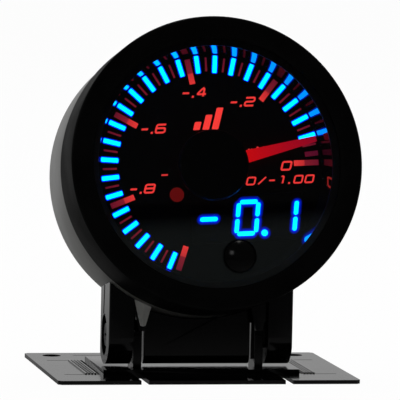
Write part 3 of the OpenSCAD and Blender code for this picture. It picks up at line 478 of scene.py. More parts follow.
cone_outline = [(CONE_FRONT_R, GASKET_BACK), (SEAT_R - FIT, GASKET_BACK),
                (SEAT_R - FIT, DIAL_FACE), (CONE_BACK_R, DIAL_FACE)]
cone = link("cone", lathe("cone", cone_outline, dial_place), cone_black, "gauge",
            ["spacer_ring"])
print("cone faces:", len(cone.data.polygons))

# %% [markdown]
# The lens is a flat disc with a hole for the button. A disc from the lathe has no such hole, and a
# cut could leave bad faces, so the plate is filled between its two circles instead.

# %% The lens, a flat plate with a hole
LENS_BACK = 2.2
BUTTON_AT = (3.845, -20.747)
BUTTON_R = 3.4
BUTTON_GAP = 0.3
HOLE_STEPS = 64
NEARLY_FLAT = 0.01


def circle_points(radius, centre=(0, 0), steps=LATHE_STEPS):
    """Points of a circle, in millimetres."""
    return [(centre[0] + radius * math.cos(2 * math.pi * i / steps),
             centre[1] + radius * math.sin(2 * math.pi * i / steps)) for i in range(steps)]


def plate(name, outer, holes, front, back, place):
    """A plate between two depths, filled between its outlines."""
    work = bmesh.new()
    edges = []
    for loop in [outer, *holes]:
        ring = [work.verts.new((x * MM, y * MM, -front * MM)) for x, y in loop]
        edges += [work.edges.new((ring[i], ring[(i + 1) % len(ring)])) for i in range(len(ring))]
    bmesh.ops.triangle_fill(work, use_beauty=True, use_dissolve=False, edges=edges)
    bmesh.ops.dissolve_limit(work, angle_limit=NEARLY_FLAT, verts=work.verts, edges=work.edges)
    grown = bmesh.ops.extrude_face_region(work, geom=work.faces[:])
    moved = [item for item in grown["geom"] if isinstance(item, bmesh.types.BMVert)]
    bmesh.ops.translate(work, verts=moved, vec=(0, 0, (front - back) * MM))
    return made(work, name, place)


button_hole = circle_points(BUTTON_R + BUTTON_GAP, BUTTON_AT, HOLE_STEPS)
lens_mesh = plate("lens_disc", circle_points(SEAT_R - FIT), [button_hole], LIP_T, LENS_BACK, dial_place)
lens_disc = link("lens_disc", lens_mesh, smoked_lens, "gauge", ["lens"])
print("lens faces:", len(lens_disc.data.polygons))

# %% [markdown]
# Bars, print and strokes are thin flat shapes on the dial. Curves or text could make them, but
# neither keeps a glow for each vertex. So they are built from plain faces: a shape is a list of
# points and a rule that says how much it glows at a place, and many shapes share one mesh.

# %% Flat shapes that can glow
def rounded_box(width, height, radius, steps=3):
    """Points of a rectangle with round corners, about the origin."""
    points = []
    for index, (sx, sy) in enumerate(((1, 1), (-1, 1), (-1, -1), (1, -1))):
        for i in range(steps + 1):
            angle = math.radians(90 * index + 90 * i / steps)
            points.append((sx * (width / 2 - radius) + radius * math.cos(angle),
                           sy * (height / 2 - radius) + radius * math.sin(angle)))
    return points


def moved_points(points, angle=0.0, shift=(0, 0)):
    """Points turned about the origin after a shift."""
    c, s = math.cos(angle), math.sin(angle)
    return [((x + shift[0]) * c - (y + shift[1]) * s, (x + shift[0]) * s + (y + shift[1]) * c)
            for x, y in points]


def steady(glow):
    """A rule that gives the same glow everywhere."""
    return lambda x, y: glow


def flat_shapes(name, shapes, front, back, place, material, body, replaced=()):
    """Many thin shapes in one mesh. A shape is its points and its glow rule."""
    work = bmesh.new()
    glow_layer = work.verts.layers.float.new(GLOW)
    for points, glow_of in shapes:
        ends = []
        for depth in (front, back):
            ring = [work.verts.new((x * MM, y * MM, -depth * MM)) for x, y in points]
            for vertex, (x, y) in zip(ring, points):
                vertex[glow_layer] = glow_of(x, y)
            ends.append(ring)
        work.faces.new(ends[0])
        work.faces.new(ends[1][::-1])
        count = len(points)
        for i in range(count):
            j = (i + 1) % count
            work.faces.new((ends[0][j], ends[0][i], ends[1][i], ends[1][j]))
    return link(name, made(work, name, place), material, body, replaced)


print("points of a rounded box:", len(rounded_box(1, 1, 0.1)))

# %% [markdown]
# The lit bars are small windows of clear blue plastic. Their middle is so bright that a camera sees
# it as plain cyan, and only the edge shows how blue the light is. So each bar is a rounded plate
# with a bright field and a thin deep blue rim, and the rim is real geometry with its own material.

# %% The lit bars
SCALE_ANGLE = 249
BAR_PLACES = 25
BAR_STEP = SCALE_ANGLE / BAR_PLACES
BAR_R = 22.8
BAR_LENGTH, BAR_WIDTH = 4.0, 1.1
RIM = 0.16
FIELD_ROUND, RIM_ROUND = 0.2, 0.3
BAR_RISE = 0.05

bar_fields, bar_rims = [], []
for i in range(1, BAR_PLACES):
    turn = math.radians((i + 0.5) * BAR_STEP)
    inner = rounded_box(BAR_LENGTH - RIM, BAR_WIDTH - RIM, FIELD_ROUND)
    outer = rounded_box(BAR_LENGTH + RIM, BAR_WIDTH + 2 * RIM, RIM_ROUND)
    bar_fields.append((moved_points(inner, turn, (BAR_R, 0)), steady(1.0)))
    bar_rims.append((moved_points(outer, turn, (BAR_R, 0)), steady(1.0)))
flat_shapes("bar_fields", bar_fields, DIAL_FACE - BAR_RISE, DIAL_BACK, dial_place, lit_blue,
            "gauge", ["tick_bars"])
flat_shapes("bar_rims", bar_rims, DIAL_FACE - BAR_RISE / 2, DIAL_FACE, dial_place, blue_rim,
            "gauge")
print("bars:", len(bar_fields))

# %% [markdown]
# The scale's red print has long marks at the numbers and thin ones between the bars. The lamps sit
# near the inner end of the long marks, so they fade outwards from bright red to dull purple. The
# first place of the scale has no lit bar: its window stays a dark red patch.

# %% The red marks
PRINT_T = 0.04
MAJOR_EVERY = 5
MAJOR_IN, MAJOR_OUT, MAJOR_WIDTH = 18.7, 24.3, 1.25
MAJOR_LIT = MAJOR_IN + 2.4
MINOR_IN, MINOR_OUT, MINOR_WIDTH = 21.2, 24.3, 0.42
PATCH_IN, PATCH_OUT, PATCH_WIDTH = BAR_R - BAR_LENGTH / 2 + 0.6, BAR_R + BAR_LENGTH / 2 - 0.4, 1.1
LIT_GLOW, OUTER_GLOW, MINOR_GLOW, PATCH_GLOW = (0.55, 0.36), (0.14, 0.07), (0.1, 0.06), (0.04, 0.03)


def fade(inner, outer, start, end):
    """A glow that falls from the inner to the outer end of a mark."""
    def rule(x, y):
        share = (math.hypot(x, y) - inner) / (outer - inner)
        return start + (end - start) * max(0.0, min(1.0, share))
    return rule


def radial_mark(inner, outer, width, angle, glow, steps):
    """A mark cut into short lengths, so that its fade is smooth."""
    pieces = []
    for i in range(steps):
        near = inner + (outer - inner) * i / steps
        far = inner + (outer - inner) * (i + 1) / steps
        points = [(near, -width / 2), (far, -width / 2), (far, width / 2), (near, width / 2)]
        pieces.append((moved_points(points, angle), fade(inner, outer, *glow)))
    return pieces


marks = []
for i in range(BAR_PLACES + 1):
    angle = math.radians(i * BAR_STEP)
    if i % MAJOR_EVERY == 0:
        marks += radial_mark(MAJOR_IN, MAJOR_LIT, MAJOR_WIDTH, angle, LIT_GLOW, 4)
        marks += radial_mark(MAJOR_LIT, MAJOR_OUT, MAJOR_WIDTH, angle, OUTER_GLOW, 4)
    else:
        marks += radial_mark(MINOR_IN, MINOR_OUT, MINOR_WIDTH, angle, MINOR_GLOW, 3)
marks += radial_mark(PATCH_IN, PATCH_OUT, PATCH_WIDTH, math.radians(BAR_STEP / 2), PATCH_GLOW, 3)
flat_shapes("red_marks", marks, DIAL_FACE - PRINT_T, DIAL_FACE, dial_place, print_red,
            "gauge")
print("mark pieces:", len(marks))

# %% [markdown]
# The numbers are wide, slanted and square-shouldered. Blender's own font is narrow and round, so
# they are drawn as a sign writer would, with strokes: each character is a few lines in a unit
# square, and a table says for each line whether it closes on itself.

# %% The characters
SLANT = math.tan(math.radians(17))
GLYPHS = {
    "0": [([(0, 0), (1, 0), (1, 1), (0, 1)], True)],
    "1": [([(0.2, 1), (0.6, 1), (0.6, 0)], False)],
    "2": [([(0, 1), (1, 1), (1, 0.5), (0, 0.5), (0, 0), (1, 0)], False)],
    "4": [([(0.72, 0), (0.72, 1), (0.5, 1), (0, 0.3), (1, 0.3)], False)],
    "6": [([(1, 1), (0, 1), (0, 0), (1, 0), (1, 0.56), (0, 0.56)], False)],
    "8": [([(0, 0), (1, 0), (1, 1), (0, 1)], True), ([(0, 0.52), (1, 0.52)], False)],
    "x": [([(0.1, 0.1), (0.8, 0.8)], False), ([(0.1, 0.8), (0.8, 0.1)], False)],
    "/": [([(0.1, 0), (0.9, 1)], False)],
    "-": [([(0, 0.48), (0.8, 0.48)], False)],
}
NARROW = {".": 0.3, "-": 0.9, "1": 0.8}
print("characters drawn with strokes:", len(GLYPHS))

# %% [markdown]
# A drawn line has sharp corners and no width. Each corner is replaced by a short curve that starts
# and ends on its two sides, and then the line is followed on its left and right at half its width.
# A curve object with a bevel does the same, but its ends are harder to control at this size.

# %% Lines with soft corners and a width
def soften(points, radius, closed, steps=4):
    """The line with its corners rounded."""
    count = len(points)
    result = []
    for i, point in enumerate(points):
        if not closed and i in (0, count - 1):
            result.append(point)
            continue
        here = Vector(point)
        before = Vector(points[i - 1]) - here
        after = Vector(points[(i + 1) % count]) - here
        reach = min(radius, before.length / 2, after.length / 2)
        start = here + before.normalized() * reach
        end = here + after.normalized() * reach
        for k in range(steps + 1):
            t = k / steps
            result.append(tuple(start * (1 - t) ** 2 + here * 2 * t * (1 - t) + end * t ** 2))
    return result


def ribbon(points, width, closed):
    """Quads that follow a line at a width."""
    count = len(points)
    sides = []
    for i, point in enumerate(points):
        here = Vector(point)
        before = Vector(points[i - 1]) if closed or i > 0 else None
        after = Vector(points[(i + 1) % count]) if closed or i < count - 1 else None
        one = (here - before).normalized() if before else (after - here).normalized()
        two = (after - here).normalized() if after else one
        direction = (one + two).normalized()
        normal = Vector((-direction.y, direction.x))
        reach = width / 2 / max(0.5, normal.dot(Vector((-one.y, one.x))))
        sides.append((tuple(here - normal * reach), tuple(here + normal * reach)))
    spans = range(count if closed else count - 1)
    return [[sides[i][0], sides[(i + 1) % count][0], sides[(i + 1) % count][1], sides[i][1]]
            for i in spans]


print("quads in one 0:", len(ribbon(soften([(0, 0), (1, 0), (1, 1), (0, 1)], 0.2, True), 0.2, True)))

# %% [markdown]
# A line of numbers is set like type: each character has a width, a gap follows it, and the whole is
# centred on its place and slanted. The corners and the dot are shares of the height and of the
# line, so small numbers keep the look of large ones.

# %% Setting a line of characters
CORNER_SHARE = 0.22
DOT_WIDTH_SHARE, DOT_HEIGHT_SHARE = 1.1, 0.6


def write(text, centre, height, glyph_width, line, gap, glow):
    """The shapes of a line of characters about a centre."""
    widths = [glyph_width * NARROW.get(char, 1.0) for char in text]
    total = sum(widths) + gap * (len(text) - 1)
    cursor = -total / 2
    shapes = []
    for char, width in zip(text, widths):
        lines = [([(x * width, y * height - height / 2) for x, y in points], closed)
                 for points, closed in GLYPHS.get(char, [])]
        quads = []
        for points, closed in lines:
            quads += ribbon(soften(points, height * CORNER_SHARE, closed), line, closed)
        if char == ".":
            dot_w, low = line * DOT_WIDTH_SHARE, -height / 2 - line / 2
            high = -height / 2 + line * DOT_HEIGHT_SHARE
            quads = [[(0, low), (dot_w, low), (dot_w, high), (0, high)]]
        for quad in quads:
            points = [(cursor + x + y * SLANT + centre[0], y + centre[1]) for x, y in quad]
            shapes.append((points, steady(glow)))
        cursor += width + gap
    return shapes


print("shapes in -.2:", len(write("-.2", (0, 0), 1, 1, 0.2, 0.2, 1)))

# %% [markdown]
# The scale counts from 0 down to -.8. Beside it stand a plain number range, a short bar, "x100" and
# a simple sign of three rising bars. Each glows evenly over its whole face, because no part of it
# is far from a lamp.

# %% Numbers and sign on the dial
NUMBER_GLOW, SMALL_GLOW, SIGN_GLOW = 0.62, 0.5, 0.7
NUMBER_H, NUMBER_W, NUMBER_LINE, NUMBER_GAP = 1.75, 2.0, 0.42, 0.45
numbers = []
for text, place in (("0", (17.0, -0.5)), ("-.2", (7.9, 14.1)), ("-.4", (-2.8, 16.5)),
                    ("-.6", (-12.5, 8.8)), ("-.8", (-15.75, -4.4))):
    numbers += write(text, place, NUMBER_H, NUMBER_W, NUMBER_LINE, NUMBER_GAP, NUMBER_GLOW)
numbers += write("0/-1.00", (15.4, -3.6), 1.55, 1.75, 0.36, 0.75, NUMBER_GLOW)
numbers += write("x100", (11.4, 3.2), 1.3, 1.2, 0.3, 0.5, SMALL_GLOW)
numbers += write("-", (-10.4, -1.5), 1.2, 2.0, 0.36, 0.4, SMALL_GLOW)
SIGN_AT = (-0.05, 10.6)
SIGN_HEIGHTS = (1.8, 3.3, 4.8)
SIGN_WIDTH, SIGN_STEP, SIGN_ROUND = 1.5, 2.1, 0.2
for i, height in enumerate(SIGN_HEIGHTS):
    box_points = rounded_box(SIGN_WIDTH, height, SIGN_ROUND)
    shift = (SIGN_AT[0] + (i - 1) * SIGN_STEP, SIGN_AT[1] - (SIGN_HEIGHTS[-1] - height) / 2)
    numbers.append(([(x + shift[0] + (y + shift[1] - SIGN_AT[1]) * SLANT, y + shift[1])
                     for x, y in box_points], steady(SIGN_GLOW)))
flat_shapes("numbers", numbers, DIAL_FACE - PRINT_T, DIAL_FACE, dial_place, print_red,
            "gauge")
print("number pieces:", len(numbers))

# %% [markdown]
# The display has three digits of seven strokes each, and a point. Its strokes have round ends and
# small gaps between them. Seven lines between six corners describe a digit, and a capsule along
# each line gives the stroke. Text in a display font would be one shape, without its gaps.

# %% The strokes of a digit
DISPLAY_AT = (7.5, -11.7)
DISPLAY_FACE = 8.5
STROKE_RISE, DARK_RISE = 0.1, 0.02
DIGIT_W, DIGIT_H, DIGIT_STEP, DIGIT_LEAN = 5.4, 8.0, 8.7, math.tan(math.radians(8.5))
STROKE_W, STROKE_GAP = 0.98, 0.42
ROWS = (DIGIT_H - STROKE_W) / 2
COLUMNS = (DIGIT_W - STROKE_W) / 2
STROKES = [((-COLUMNS, ROWS), (COLUMNS, ROWS)), ((COLUMNS, ROWS), (COLUMNS, 0)),
           ((COLUMNS, 0), (COLUMNS, -ROWS)), ((COLUMNS, -ROWS), (-COLUMNS, -ROWS)),
           ((-COLUMNS, -ROWS), (-COLUMNS, 0)), ((-COLUMNS, 0), (-COLUMNS, ROWS)),
           ((-COLUMNS, 0), (COLUMNS, 0))]


def capsule(start, end, radius, steps=8):
    """A stroke with round ends."""
    a, b = Vector(start), Vector(end)
    angle = math.atan2(b.y - a.y, b.x - a.x)
    points = []
    for centre, base in ((b, angle - math.pi / 2), (a, angle + math.pi / 2)):
        for i in range(steps + 1):
            turn = base + math.pi * i / steps
            points.append((centre.x + radius * math.cos(turn), centre.y + radius * math.sin(turn)))
    return points


def stroke_shape(digit, number, radius, glow=1.0):
    """One stroke of one digit, leaning with the rest."""
    start, end = (Vector(point) for point in STROKES[number])
    along = (end - start).normalized()
    trim = STROKE_W / 2 + STROKE_GAP / 2
    points = capsule(start + along * trim, end - along * trim, radius)
    return ([(x + y * DIGIT_LEAN + digit * DIGIT_STEP + DISPLAY_AT[0], y + DISPLAY_AT[1])
             for x, y in points], steady(glow))


print("strokes in a digit:", len(STROKES))

# %% [markdown]
# A list says which strokes are lit. The unlit ones are made too, in a dark grey that barely shows,
# so that the display is complete and another value can be shown by a change of that list.

# %% Lit and unlit strokes
POINT_R, POINT_SHARE = 0.72, 0.42
LIT_STROKES = [(-1, [6]), (0, [0, 1, 2, 3, 4, 5]), (1, [1, 2])]
POINT_AT = (DISPLAY_AT[0] + DIGIT_STEP * POINT_SHARE, DISPLAY_AT[1] - ROWS)
lit_shapes, dark_shapes = [], []
for digit, wanted in LIT_STROKES:
    for number in range(len(STROKES)):
        target = lit_shapes if number in wanted else dark_shapes
        target.append(stroke_shape(digit, number, STROKE_W / 2))
lit_shapes.append((circle_points(POINT_R, POINT_AT, 24), steady(1.0)))
flat_shapes("lit_strokes", lit_shapes, DISPLAY_FACE - STROKE_RISE, DISPLAY_FACE, dial_place,
            lit_blue, "gauge", ["lit_segments"])
flat_shapes("dark_strokes", dark_shapes, DISPLAY_FACE - DARK_RISE, DISPLAY_FACE, dial_place,
            unlit_grey, "gauge", ["dark_segments"])
print("lit strokes:", len(lit_shapes), "dark strokes:", len(dark_shapes))

# %% [markdown]
# The bright strokes throw a blue haze on the face round them. In a camera that haze is glare, which
# a material can't paint, but much of it is real light in the display's cover. Three flat rings of
# falling glow, each a little wider and lower than the one before, give it from any side.

# %% Blue haze round the digits
HALOS = [(0.2, 1.0), (0.42, 0.5), (0.7, 0.2)]
HALO_STEP = 0.02
for index, (grow, glow) in enumerate(HALOS):
    halo = [stroke_shape(digit, number, STROKE_W / 2 + grow, glow)
            for digit, wanted in LIT_STROKES for number in wanted]
    halo.append((circle_points(POINT_R + grow, POINT_AT, 24), steady(glow)))
    front = DISPLAY_FACE - STROKE_RISE + HALO_STEP * (index + 1)
    flat_shapes(f"blue_halo_{index}", halo, front, DISPLAY_FACE, dial_place, blue_rim, "gauge")
print("halos:", len(HALOS))

# %% [markdown]
# The pointer is a tapered red blade that takes its light at the middle, so it is brightest at the
# root. A black cap hides the root, and its rim is just visible against the black dial.

# %% Pointer and cap
NEEDLE_AT = math.radians(12.2)
NEEDLE_FACE, NEEDLE_BACK = 6.2, 7.0
NEEDLE_LENGTH = 24.2
ROOT_W, TIP_W, TIP_BEVEL = 2.8, 1.3, 0.15
NEEDLE_GLOW = (1.0, 0.35)
CAP_R, CAP_FACE = 7.9, 4.6
CAP_EDGE = ((0.6, 0), (0.25, 0.1), (0.08, 0.3), (0, 0.6))
HUB_R, HUB_SHARE = 5.0, 0.85


def blade_points():
    """The blade from the hidden hub to its tip."""
    hub = [(x, y) for x, y in circle_points(HUB_R, steps=48) if x < HUB_R * HUB_SHARE]
    start = math.acos(HUB_SHARE)
    ordered = sorted(hub, key=lambda p: (math.atan2(p[1], p[0]) - start) % (2 * math.pi))
    tip = [(NEEDLE_LENGTH, -TIP_W / 2 + TIP_BEVEL), (NEEDLE_LENGTH, TIP_W / 2 - TIP_BEVEL),
           (NEEDLE_LENGTH - TIP_BEVEL, TIP_W / 2), (CAP_R, ROOT_W / 2)]
    return tip + ordered + [(CAP_R, -ROOT_W / 2), (NEEDLE_LENGTH - TIP_BEVEL, -TIP_W / 2)]


needle_place = dial_place @ Matrix.Rotation(NEEDLE_AT, 4, "Z")
blade = [(blade_points(), fade(CAP_R, NEEDLE_LENGTH, *NEEDLE_GLOW))]
needle = flat_shapes("blade", blade, NEEDLE_FACE, NEEDLE_BACK, needle_place, needle_red, "pointer",
                     ["needle"])
cap_outline = [(0, CAP_FACE)] + [(CAP_R - inward, CAP_FACE + depth) for inward, depth in CAP_EDGE]
cap_outline += [(CAP_R, NEEDLE_FACE), (0, NEEDLE_FACE)]
link("cap", lathe("cap", cap_outline, dial_place, closed=False), cap_black, "pointer",
     ["hub_cap"])
print("blade points:", len(needle.data.vertices))

# %% [markdown]
# The push button is a small dome that stands almost level with the lens. Its stem goes down to the
# switch, but only the dome shows, so it is spun with a smooth arc.

# %% Push button
BUTTON_TOP, BUTTON_DOME, BUTTON_END, STEM_R, STEM_END = 0.1, 0.9, 2.9, 1.6, 10.3
DOME_STEPS, BUTTON_STEPS = 12, 64
dome_r = (BUTTON_R ** 2 + BUTTON_DOME ** 2) / (2 * BUTTON_DOME)
dome_angle = math.asin(BUTTON_R / dome_r)
button_outline = [(0, BUTTON_TOP)]
for i in range(1, DOME_STEPS + 1):
    angle = dome_angle * i / DOME_STEPS
    button_outline.append((dome_r * math.sin(angle), BUTTON_TOP + dome_r * (1 - math.cos(angle))))
button_outline += [(BUTTON_R, BUTTON_END), (STEM_R, BUTTON_END), (STEM_R, STEM_END), (0, STEM_END)]
button_place = dial_place @ Matrix.Translation((BUTTON_AT[0] * MM, BUTTON_AT[1] * MM, 0))
button_mesh = lathe("button", button_outline, button_place, closed=False, steps=BUTTON_STEPS)
link("button", button_mesh, button_black, "button", ["button_cap"])
print("button radius in mm:", BUTTON_R)

# %% [markdown]
# The cup is the only part that light from the side strikes fully, so its wall reads as grey next to the
# black bezel, and its colour is made paler than black as a painted sheen of that light. It is spun like
# the bezel. The two screws that hold the legs sit inside it, and the spun wall just closes over their
# heads.

# %% The cup
CUP_FRONT, CUP_BACK = 16.0, 35.0
CUP_FRONT_R, CUP_BACK_R, CUP_IN_R = 32.2, 32.0, 31.0
CUP_LIP_W, CUP_LIP_T, CUP_LIP_BEVEL = 1.6, 1.0, 0.2
CUP_EDGE = ((0.3, 0), (0.08, 0.1), (0, 0.35))
BACK_ROUND = 0.45

cup_outline = [(CUP_IN_R, CUP_FRONT)]
cup_outline += [(CUP_FRONT_R - inward, CUP_FRONT + depth) for inward, depth in CUP_EDGE]
cup_outline += corner(CUP_BACK_R - BACK_ROUND, CUP_BACK - BACK_ROUND, BACK_ROUND, 0)
cup_outline += [(CUP_IN_R - CUP_LIP_W + CUP_LIP_BEVEL, CUP_BACK),
                (CUP_IN_R - CUP_LIP_W, CUP_BACK - CUP_LIP_BEVEL),
                (CUP_IN_R - CUP_LIP_W, CUP_BACK - CUP_LIP_T), (CUP_IN_R, CUP_BACK - CUP_LIP_T)]
link("cup_shell", lathe("cup_shell", cup_outline, cup_place), cup_black, "cup", ["cup"])
print("cup length in mm:", CUP_BACK - CUP_FRONT)

# %% [markdown]
# Legs, panel, base, rear cover and sockets have the right form in CAD but razor edges, and a real
# moulding has none. A copy of each solid gets its flat faces joined and a small bevel on every
# sharp edge, which then catches a line of light as the real ones do.

# %% Soft-edged copies
WELD = 0.001 * MM
ONE_FACE_WITHIN = math.radians(1)
SOFT_COPIES = [("leg_left", "left_leg", stand_black, "stand_black", 0.3),
               ("leg_right", "right_leg", stand_black, "stand_black", 0.3),
               ("panel", "centre_panel", stand_black, "stand_black", 0.2),
               ("base", "base_plate", stand_black, "stand_black", 0.12),
               ("rear_disc", "rear_cover", housing_black, "satin_black", 0.2),
               ("socket_power", "power_socket", socket_white, "socket_white", 0.12),
               ("socket_sensor", "sensor_socket", housing_black, "satin_black", 0.12)]


def soft_edged(name, node, material, width):
    """A copy of a CAD solid with small rounded edges, which stands for it."""
    mesh = nodes[node].data.copy()
    work = bmesh.new()
    work.from_mesh(mesh)
    bmesh.ops.remove_doubles(work, verts=work.verts, dist=WELD)
    bmesh.ops.dissolve_limit(work, angle_limit=ONE_FACE_WITHIN, verts=work.verts, edges=work.edges)
    work.to_mesh(mesh)
    work.free()
    piece = link(name, mesh, material, nodes[node]["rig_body"], [node])
    bevel = piece.modifiers.new("edges", "BEVEL")
    bevel.width = width * MM
    bevel.segments = 3
    bevel.limit_method = "ANGLE"
    bevel.angle_limit = SHARP
    bevel.use_clamp_overlap = True
    bevel.harden_normals = True
    smooth(mesh)


for name, node, material, slot, width in SOFT_COPIES:
    soft_edged(name, node, material, width)
print("soft-edged copies made:", len(SOFT_COPIES))

# %% [markdown]
# No light shows between the panel and the cup above it. The panel ends a little under the cup, so a
# thin web stands behind it and closes the gap. The cup is a leaning cylinder, and a short formula
# gives the height of its underside at any place, so the web's upper edge can follow it and reach
# half a millimetre into its wall. Cutting the web with the cup would do the same with more faces.

# %% The web behind the panel
PIVOT_Y, PIVOT_UP = pivot.y / MM, pivot.z / MM
LEAN = math.asin(axis_out.z)
WEB_HALF, WEB_T = 15.0, 0.4
WEB_Y = PIVOT_Y + 3.65
WEB_FOOT = PIVOT_UP + 2.2
WEB_INTO_CUP = 0.5
WEB_STEPS = 12


def cup_under(x, y):
    """Height of the cup's underside, in mm, over a place beside the middle."""
    drop = math.sqrt(CUP_BACK_R ** 2 - x * x) + (y - face_middle.y / MM) * math.sin(LEAN)
    return face_middle.z / MM - drop / math.cos(LEAN)


across_web = [WEB_HALF * (i - WEB_STEPS) / WEB_STEPS for i in range(2 * WEB_STEPS + 1)]
web_points = [(x, cup_under(x, WEB_Y) + WEB_INTO_CUP) for x in across_web]
web_points += [(WEB_HALF, WEB_FOOT), (-WEB_HALF, WEB_FOOT)]
upright = Matrix.Rotation(math.radians(90), 4, "X")
web_mesh = plate("web", web_points, [], WEB_Y, WEB_Y + WEB_T, upright)
link("web", web_mesh, stand_black, "cup")
print("web width in mm:", 2 * WEB_HALF)

# %% [markdown]
# At each side of the panel a slit is left beside the ear of the base. A narrow upright strip in it
# keeps the white behind from shining through, and it rides on the cup, as the panel does.

# %% Strips beside the panel
CHEEK_X, CHEEK_Y, CHEEK_UP = (12.48, 12.95), (PIVOT_Y - 1.2, PIVOT_Y - 0.7), (3.5, 12.3)
for side in (-1, 1):
    near, far = sorted((side * CHEEK_X[0], side * CHEEK_X[1]))
    outline = [(near, CHEEK_UP[0]), (far, CHEEK_UP[0]), (far, CHEEK_UP[1]), (near, CHEEK_UP[1])]
    cheek_mesh = plate("panel_cheek", outline, [], *CHEEK_Y, upright)
    link("panel_cheek", cheek_mesh, stand_black, "cup")
print("strip width in mm:", round(CHEEK_X[1] - CHEEK_X[0], 2))

# %% [markdown]
# The rib beside the left leg reads as grey, because it faces the light that the floor throws back.
# Bright lamps low in front would grey every other black part too. So the rib's front is a small wedge
# whose paler colour is a painted reflection of that light, wide at the top and narrow at the foot.

# %% The painted reflection on the left rib
RIB_FRONT = PIVOT_Y - 6.65
RIB_TOP = ((-15.2, 0.7, 17.5), (-13.25, 0, 16.9), (-11.3, 0.7, 16.1))
RIB_FOOT = ((-13.9, 0.3, 11.7), (-13.25, 0, 11.5), (-12.6, 0.3, 11.7))
RIB_FACES = ((0, 1, 2), (3, 5, 4), (0, 3, 4, 1), (1, 4, 5, 2), (0, 2, 5, 3))

work = bmesh.new()
rib_corners = [work.verts.new(Vector((x, RIB_FRONT + depth, up)) * MM)
               for x, depth, up in RIB_TOP + RIB_FOOT]
for face in RIB_FACES:
    work.faces.new([rib_corners[i] for i in face])
link("rib_face", made(work, "rib_face", Matrix()), rib_painted_reflection, "cup")
print("rib faces:", len(RIB_FACES))

# %% [markdown]
# Each leg has a shallow channel in its outer side, above the screw. With all its depth it would
# draw a hard dark line, so a thin plate fills most of it and leaves only a soft step.

# %% Fillings of the channels
CHANNEL_FILL = (20.5, 20.8)
CHANNEL_HALF, CHANNEL_LOW, CHANNEL_TOP = 1.5, 13.6, 26.8
channel = [(PIVOT_Y - CHANNEL_HALF, CHANNEL_LOW), (PIVOT_Y + CHANNEL_HALF, CHANNEL_LOW),
           (PIVOT_Y, CHANNEL_TOP)]
sideways = Matrix(((0, 0, 1, 0), (1, 0, 0, 0), (0, 1, 0, 0), (0, 0, 0, 1)))
for front, back in (CHANNEL_FILL, (-CHANNEL_FILL[1], -CHANNEL_FILL[0])):
    fill_mesh = plate("channel_fill", channel, [], front, back, sideways)
    link("channel_fill", fill_mesh, stand_black, "cup")
print("filling thickness in mm:", round(CHANNEL_FILL[1] - CHANNEL_FILL[0], 2))

# %% [markdown]
# The gauge stands on white. A lit white floor would need so much light that the black parts turn
# grey, so the floor shows white to the camera by itself and only partly takes the lamps' light,
# which keeps a soft shadow. The world does the same. In gloss the room is pale behind the gauge
# and dark in front of it, as in a studio, so a value that grows along the room's depth is shared.

# %% Values for a room that is dark in front and pale behind
DARK_ROOM = 0.01
PALE_ROOM = 0.52


def larger_of(tree_nodes, tree_links, first, second):
    """The larger of two values."""
    larger = tree_nodes.new("ShaderNodeMath")
    larger.operation = "MAXIMUM"
    tree_links.new(first, larger.inputs[0])
    tree_links.new(second, larger.inputs[1])
    return larger.outputs["Value"]


def room_in_gloss(tree_nodes, tree_links, coordinate, start, stop):
    """How pale the room is at a place, by its depth."""
    where = tree_nodes.new("ShaderNodeTexCoord")
    split = tree_nodes.new("ShaderNodeSeparateXYZ")
    tree_links.new(where.outputs[coordinate], split.inputs["Vector"])
    return spread(tree_nodes, tree_links, split.outputs["Y"], DARK_ROOM, PALE_ROOM, start, stop)


print("room from", DARK_ROOM, "to", PALE_ROOM)

# %% [markdown]
# The floor's own light is mixed over a plain white surface. The mix is full for the camera, for
# gloss and for rays that go through clear plastic, apart from a small share that is left to the
# plain surface. That share takes the shadow of the gauge.

# %% The floor
FLOOR_SIZE = 6.0
FLOOR_SHINE_SHARE = 0.97

floor_mesh = bpy.data.meshes.new("floor")
work = bmesh.new()
bmesh.ops.create_grid(work, x_segments=1, y_segments=1, size=FLOOR_SIZE / 2)
work.to_mesh(floor_mesh)
work.free()
floor = bpy.data.objects.new("floor", floor_mesh)
bpy.context.scene.collection.objects.link(floor)

floor_white, floor_nodes, floor_links, floor_shader = new_material("floor_white")
floor_shader.inputs["Base Color"].default_value = (0.85, 0.85, 0.85, 1)
floor_shader.inputs["Roughness"].default_value = 0.9
floor_shader.inputs["Specular IOR Level"].default_value = 0.0
path = floor_nodes.new("ShaderNodeLightPath")
shine = floor_nodes.new("ShaderNodeEmission")
room = room_in_gloss(floor_nodes, floor_links, "Object", -0.1, 0.25)
floor_links.new(larger_of(floor_nodes, floor_links, path.outputs["Is Camera Ray"], room),
                shine.inputs["Strength"])
seen = larger_of(floor_nodes, floor_links, path.outputs["Is Camera Ray"], path.outputs["Is Glossy Ray"])
seen = larger_of(floor_nodes, floor_links, seen, path.outputs["Is Transmission Ray"])
share = floor_nodes.new("ShaderNodeMath")
share.operation = "MULTIPLY"
share.inputs[1].default_value = FLOOR_SHINE_SHARE
floor_links.new(seen, share.inputs[0])
mix = floor_nodes.new("ShaderNodeMixShader")
floor_links.new(share.outputs["Value"], mix.inputs["Fac"])
floor_links.new(floor_shader.outputs["BSDF"], mix.inputs[1])
floor_links.new(shine.outputs["Emission"], mix.inputs[2])
floor_links.new(mix.outputs["Shader"], floor_nodes["Material Output"].inputs["Surface"])
dress(floor, floor_white)
print("floor size in metres:", FLOOR_SIZE)

# %% [markdown]
# The world is the far wall of the room. To the camera it is plain white, and in gloss it goes from
# dark in front to pale behind. A bitmap of a real studio could light the gauge too, but its shapes
# would show in the black plastic.

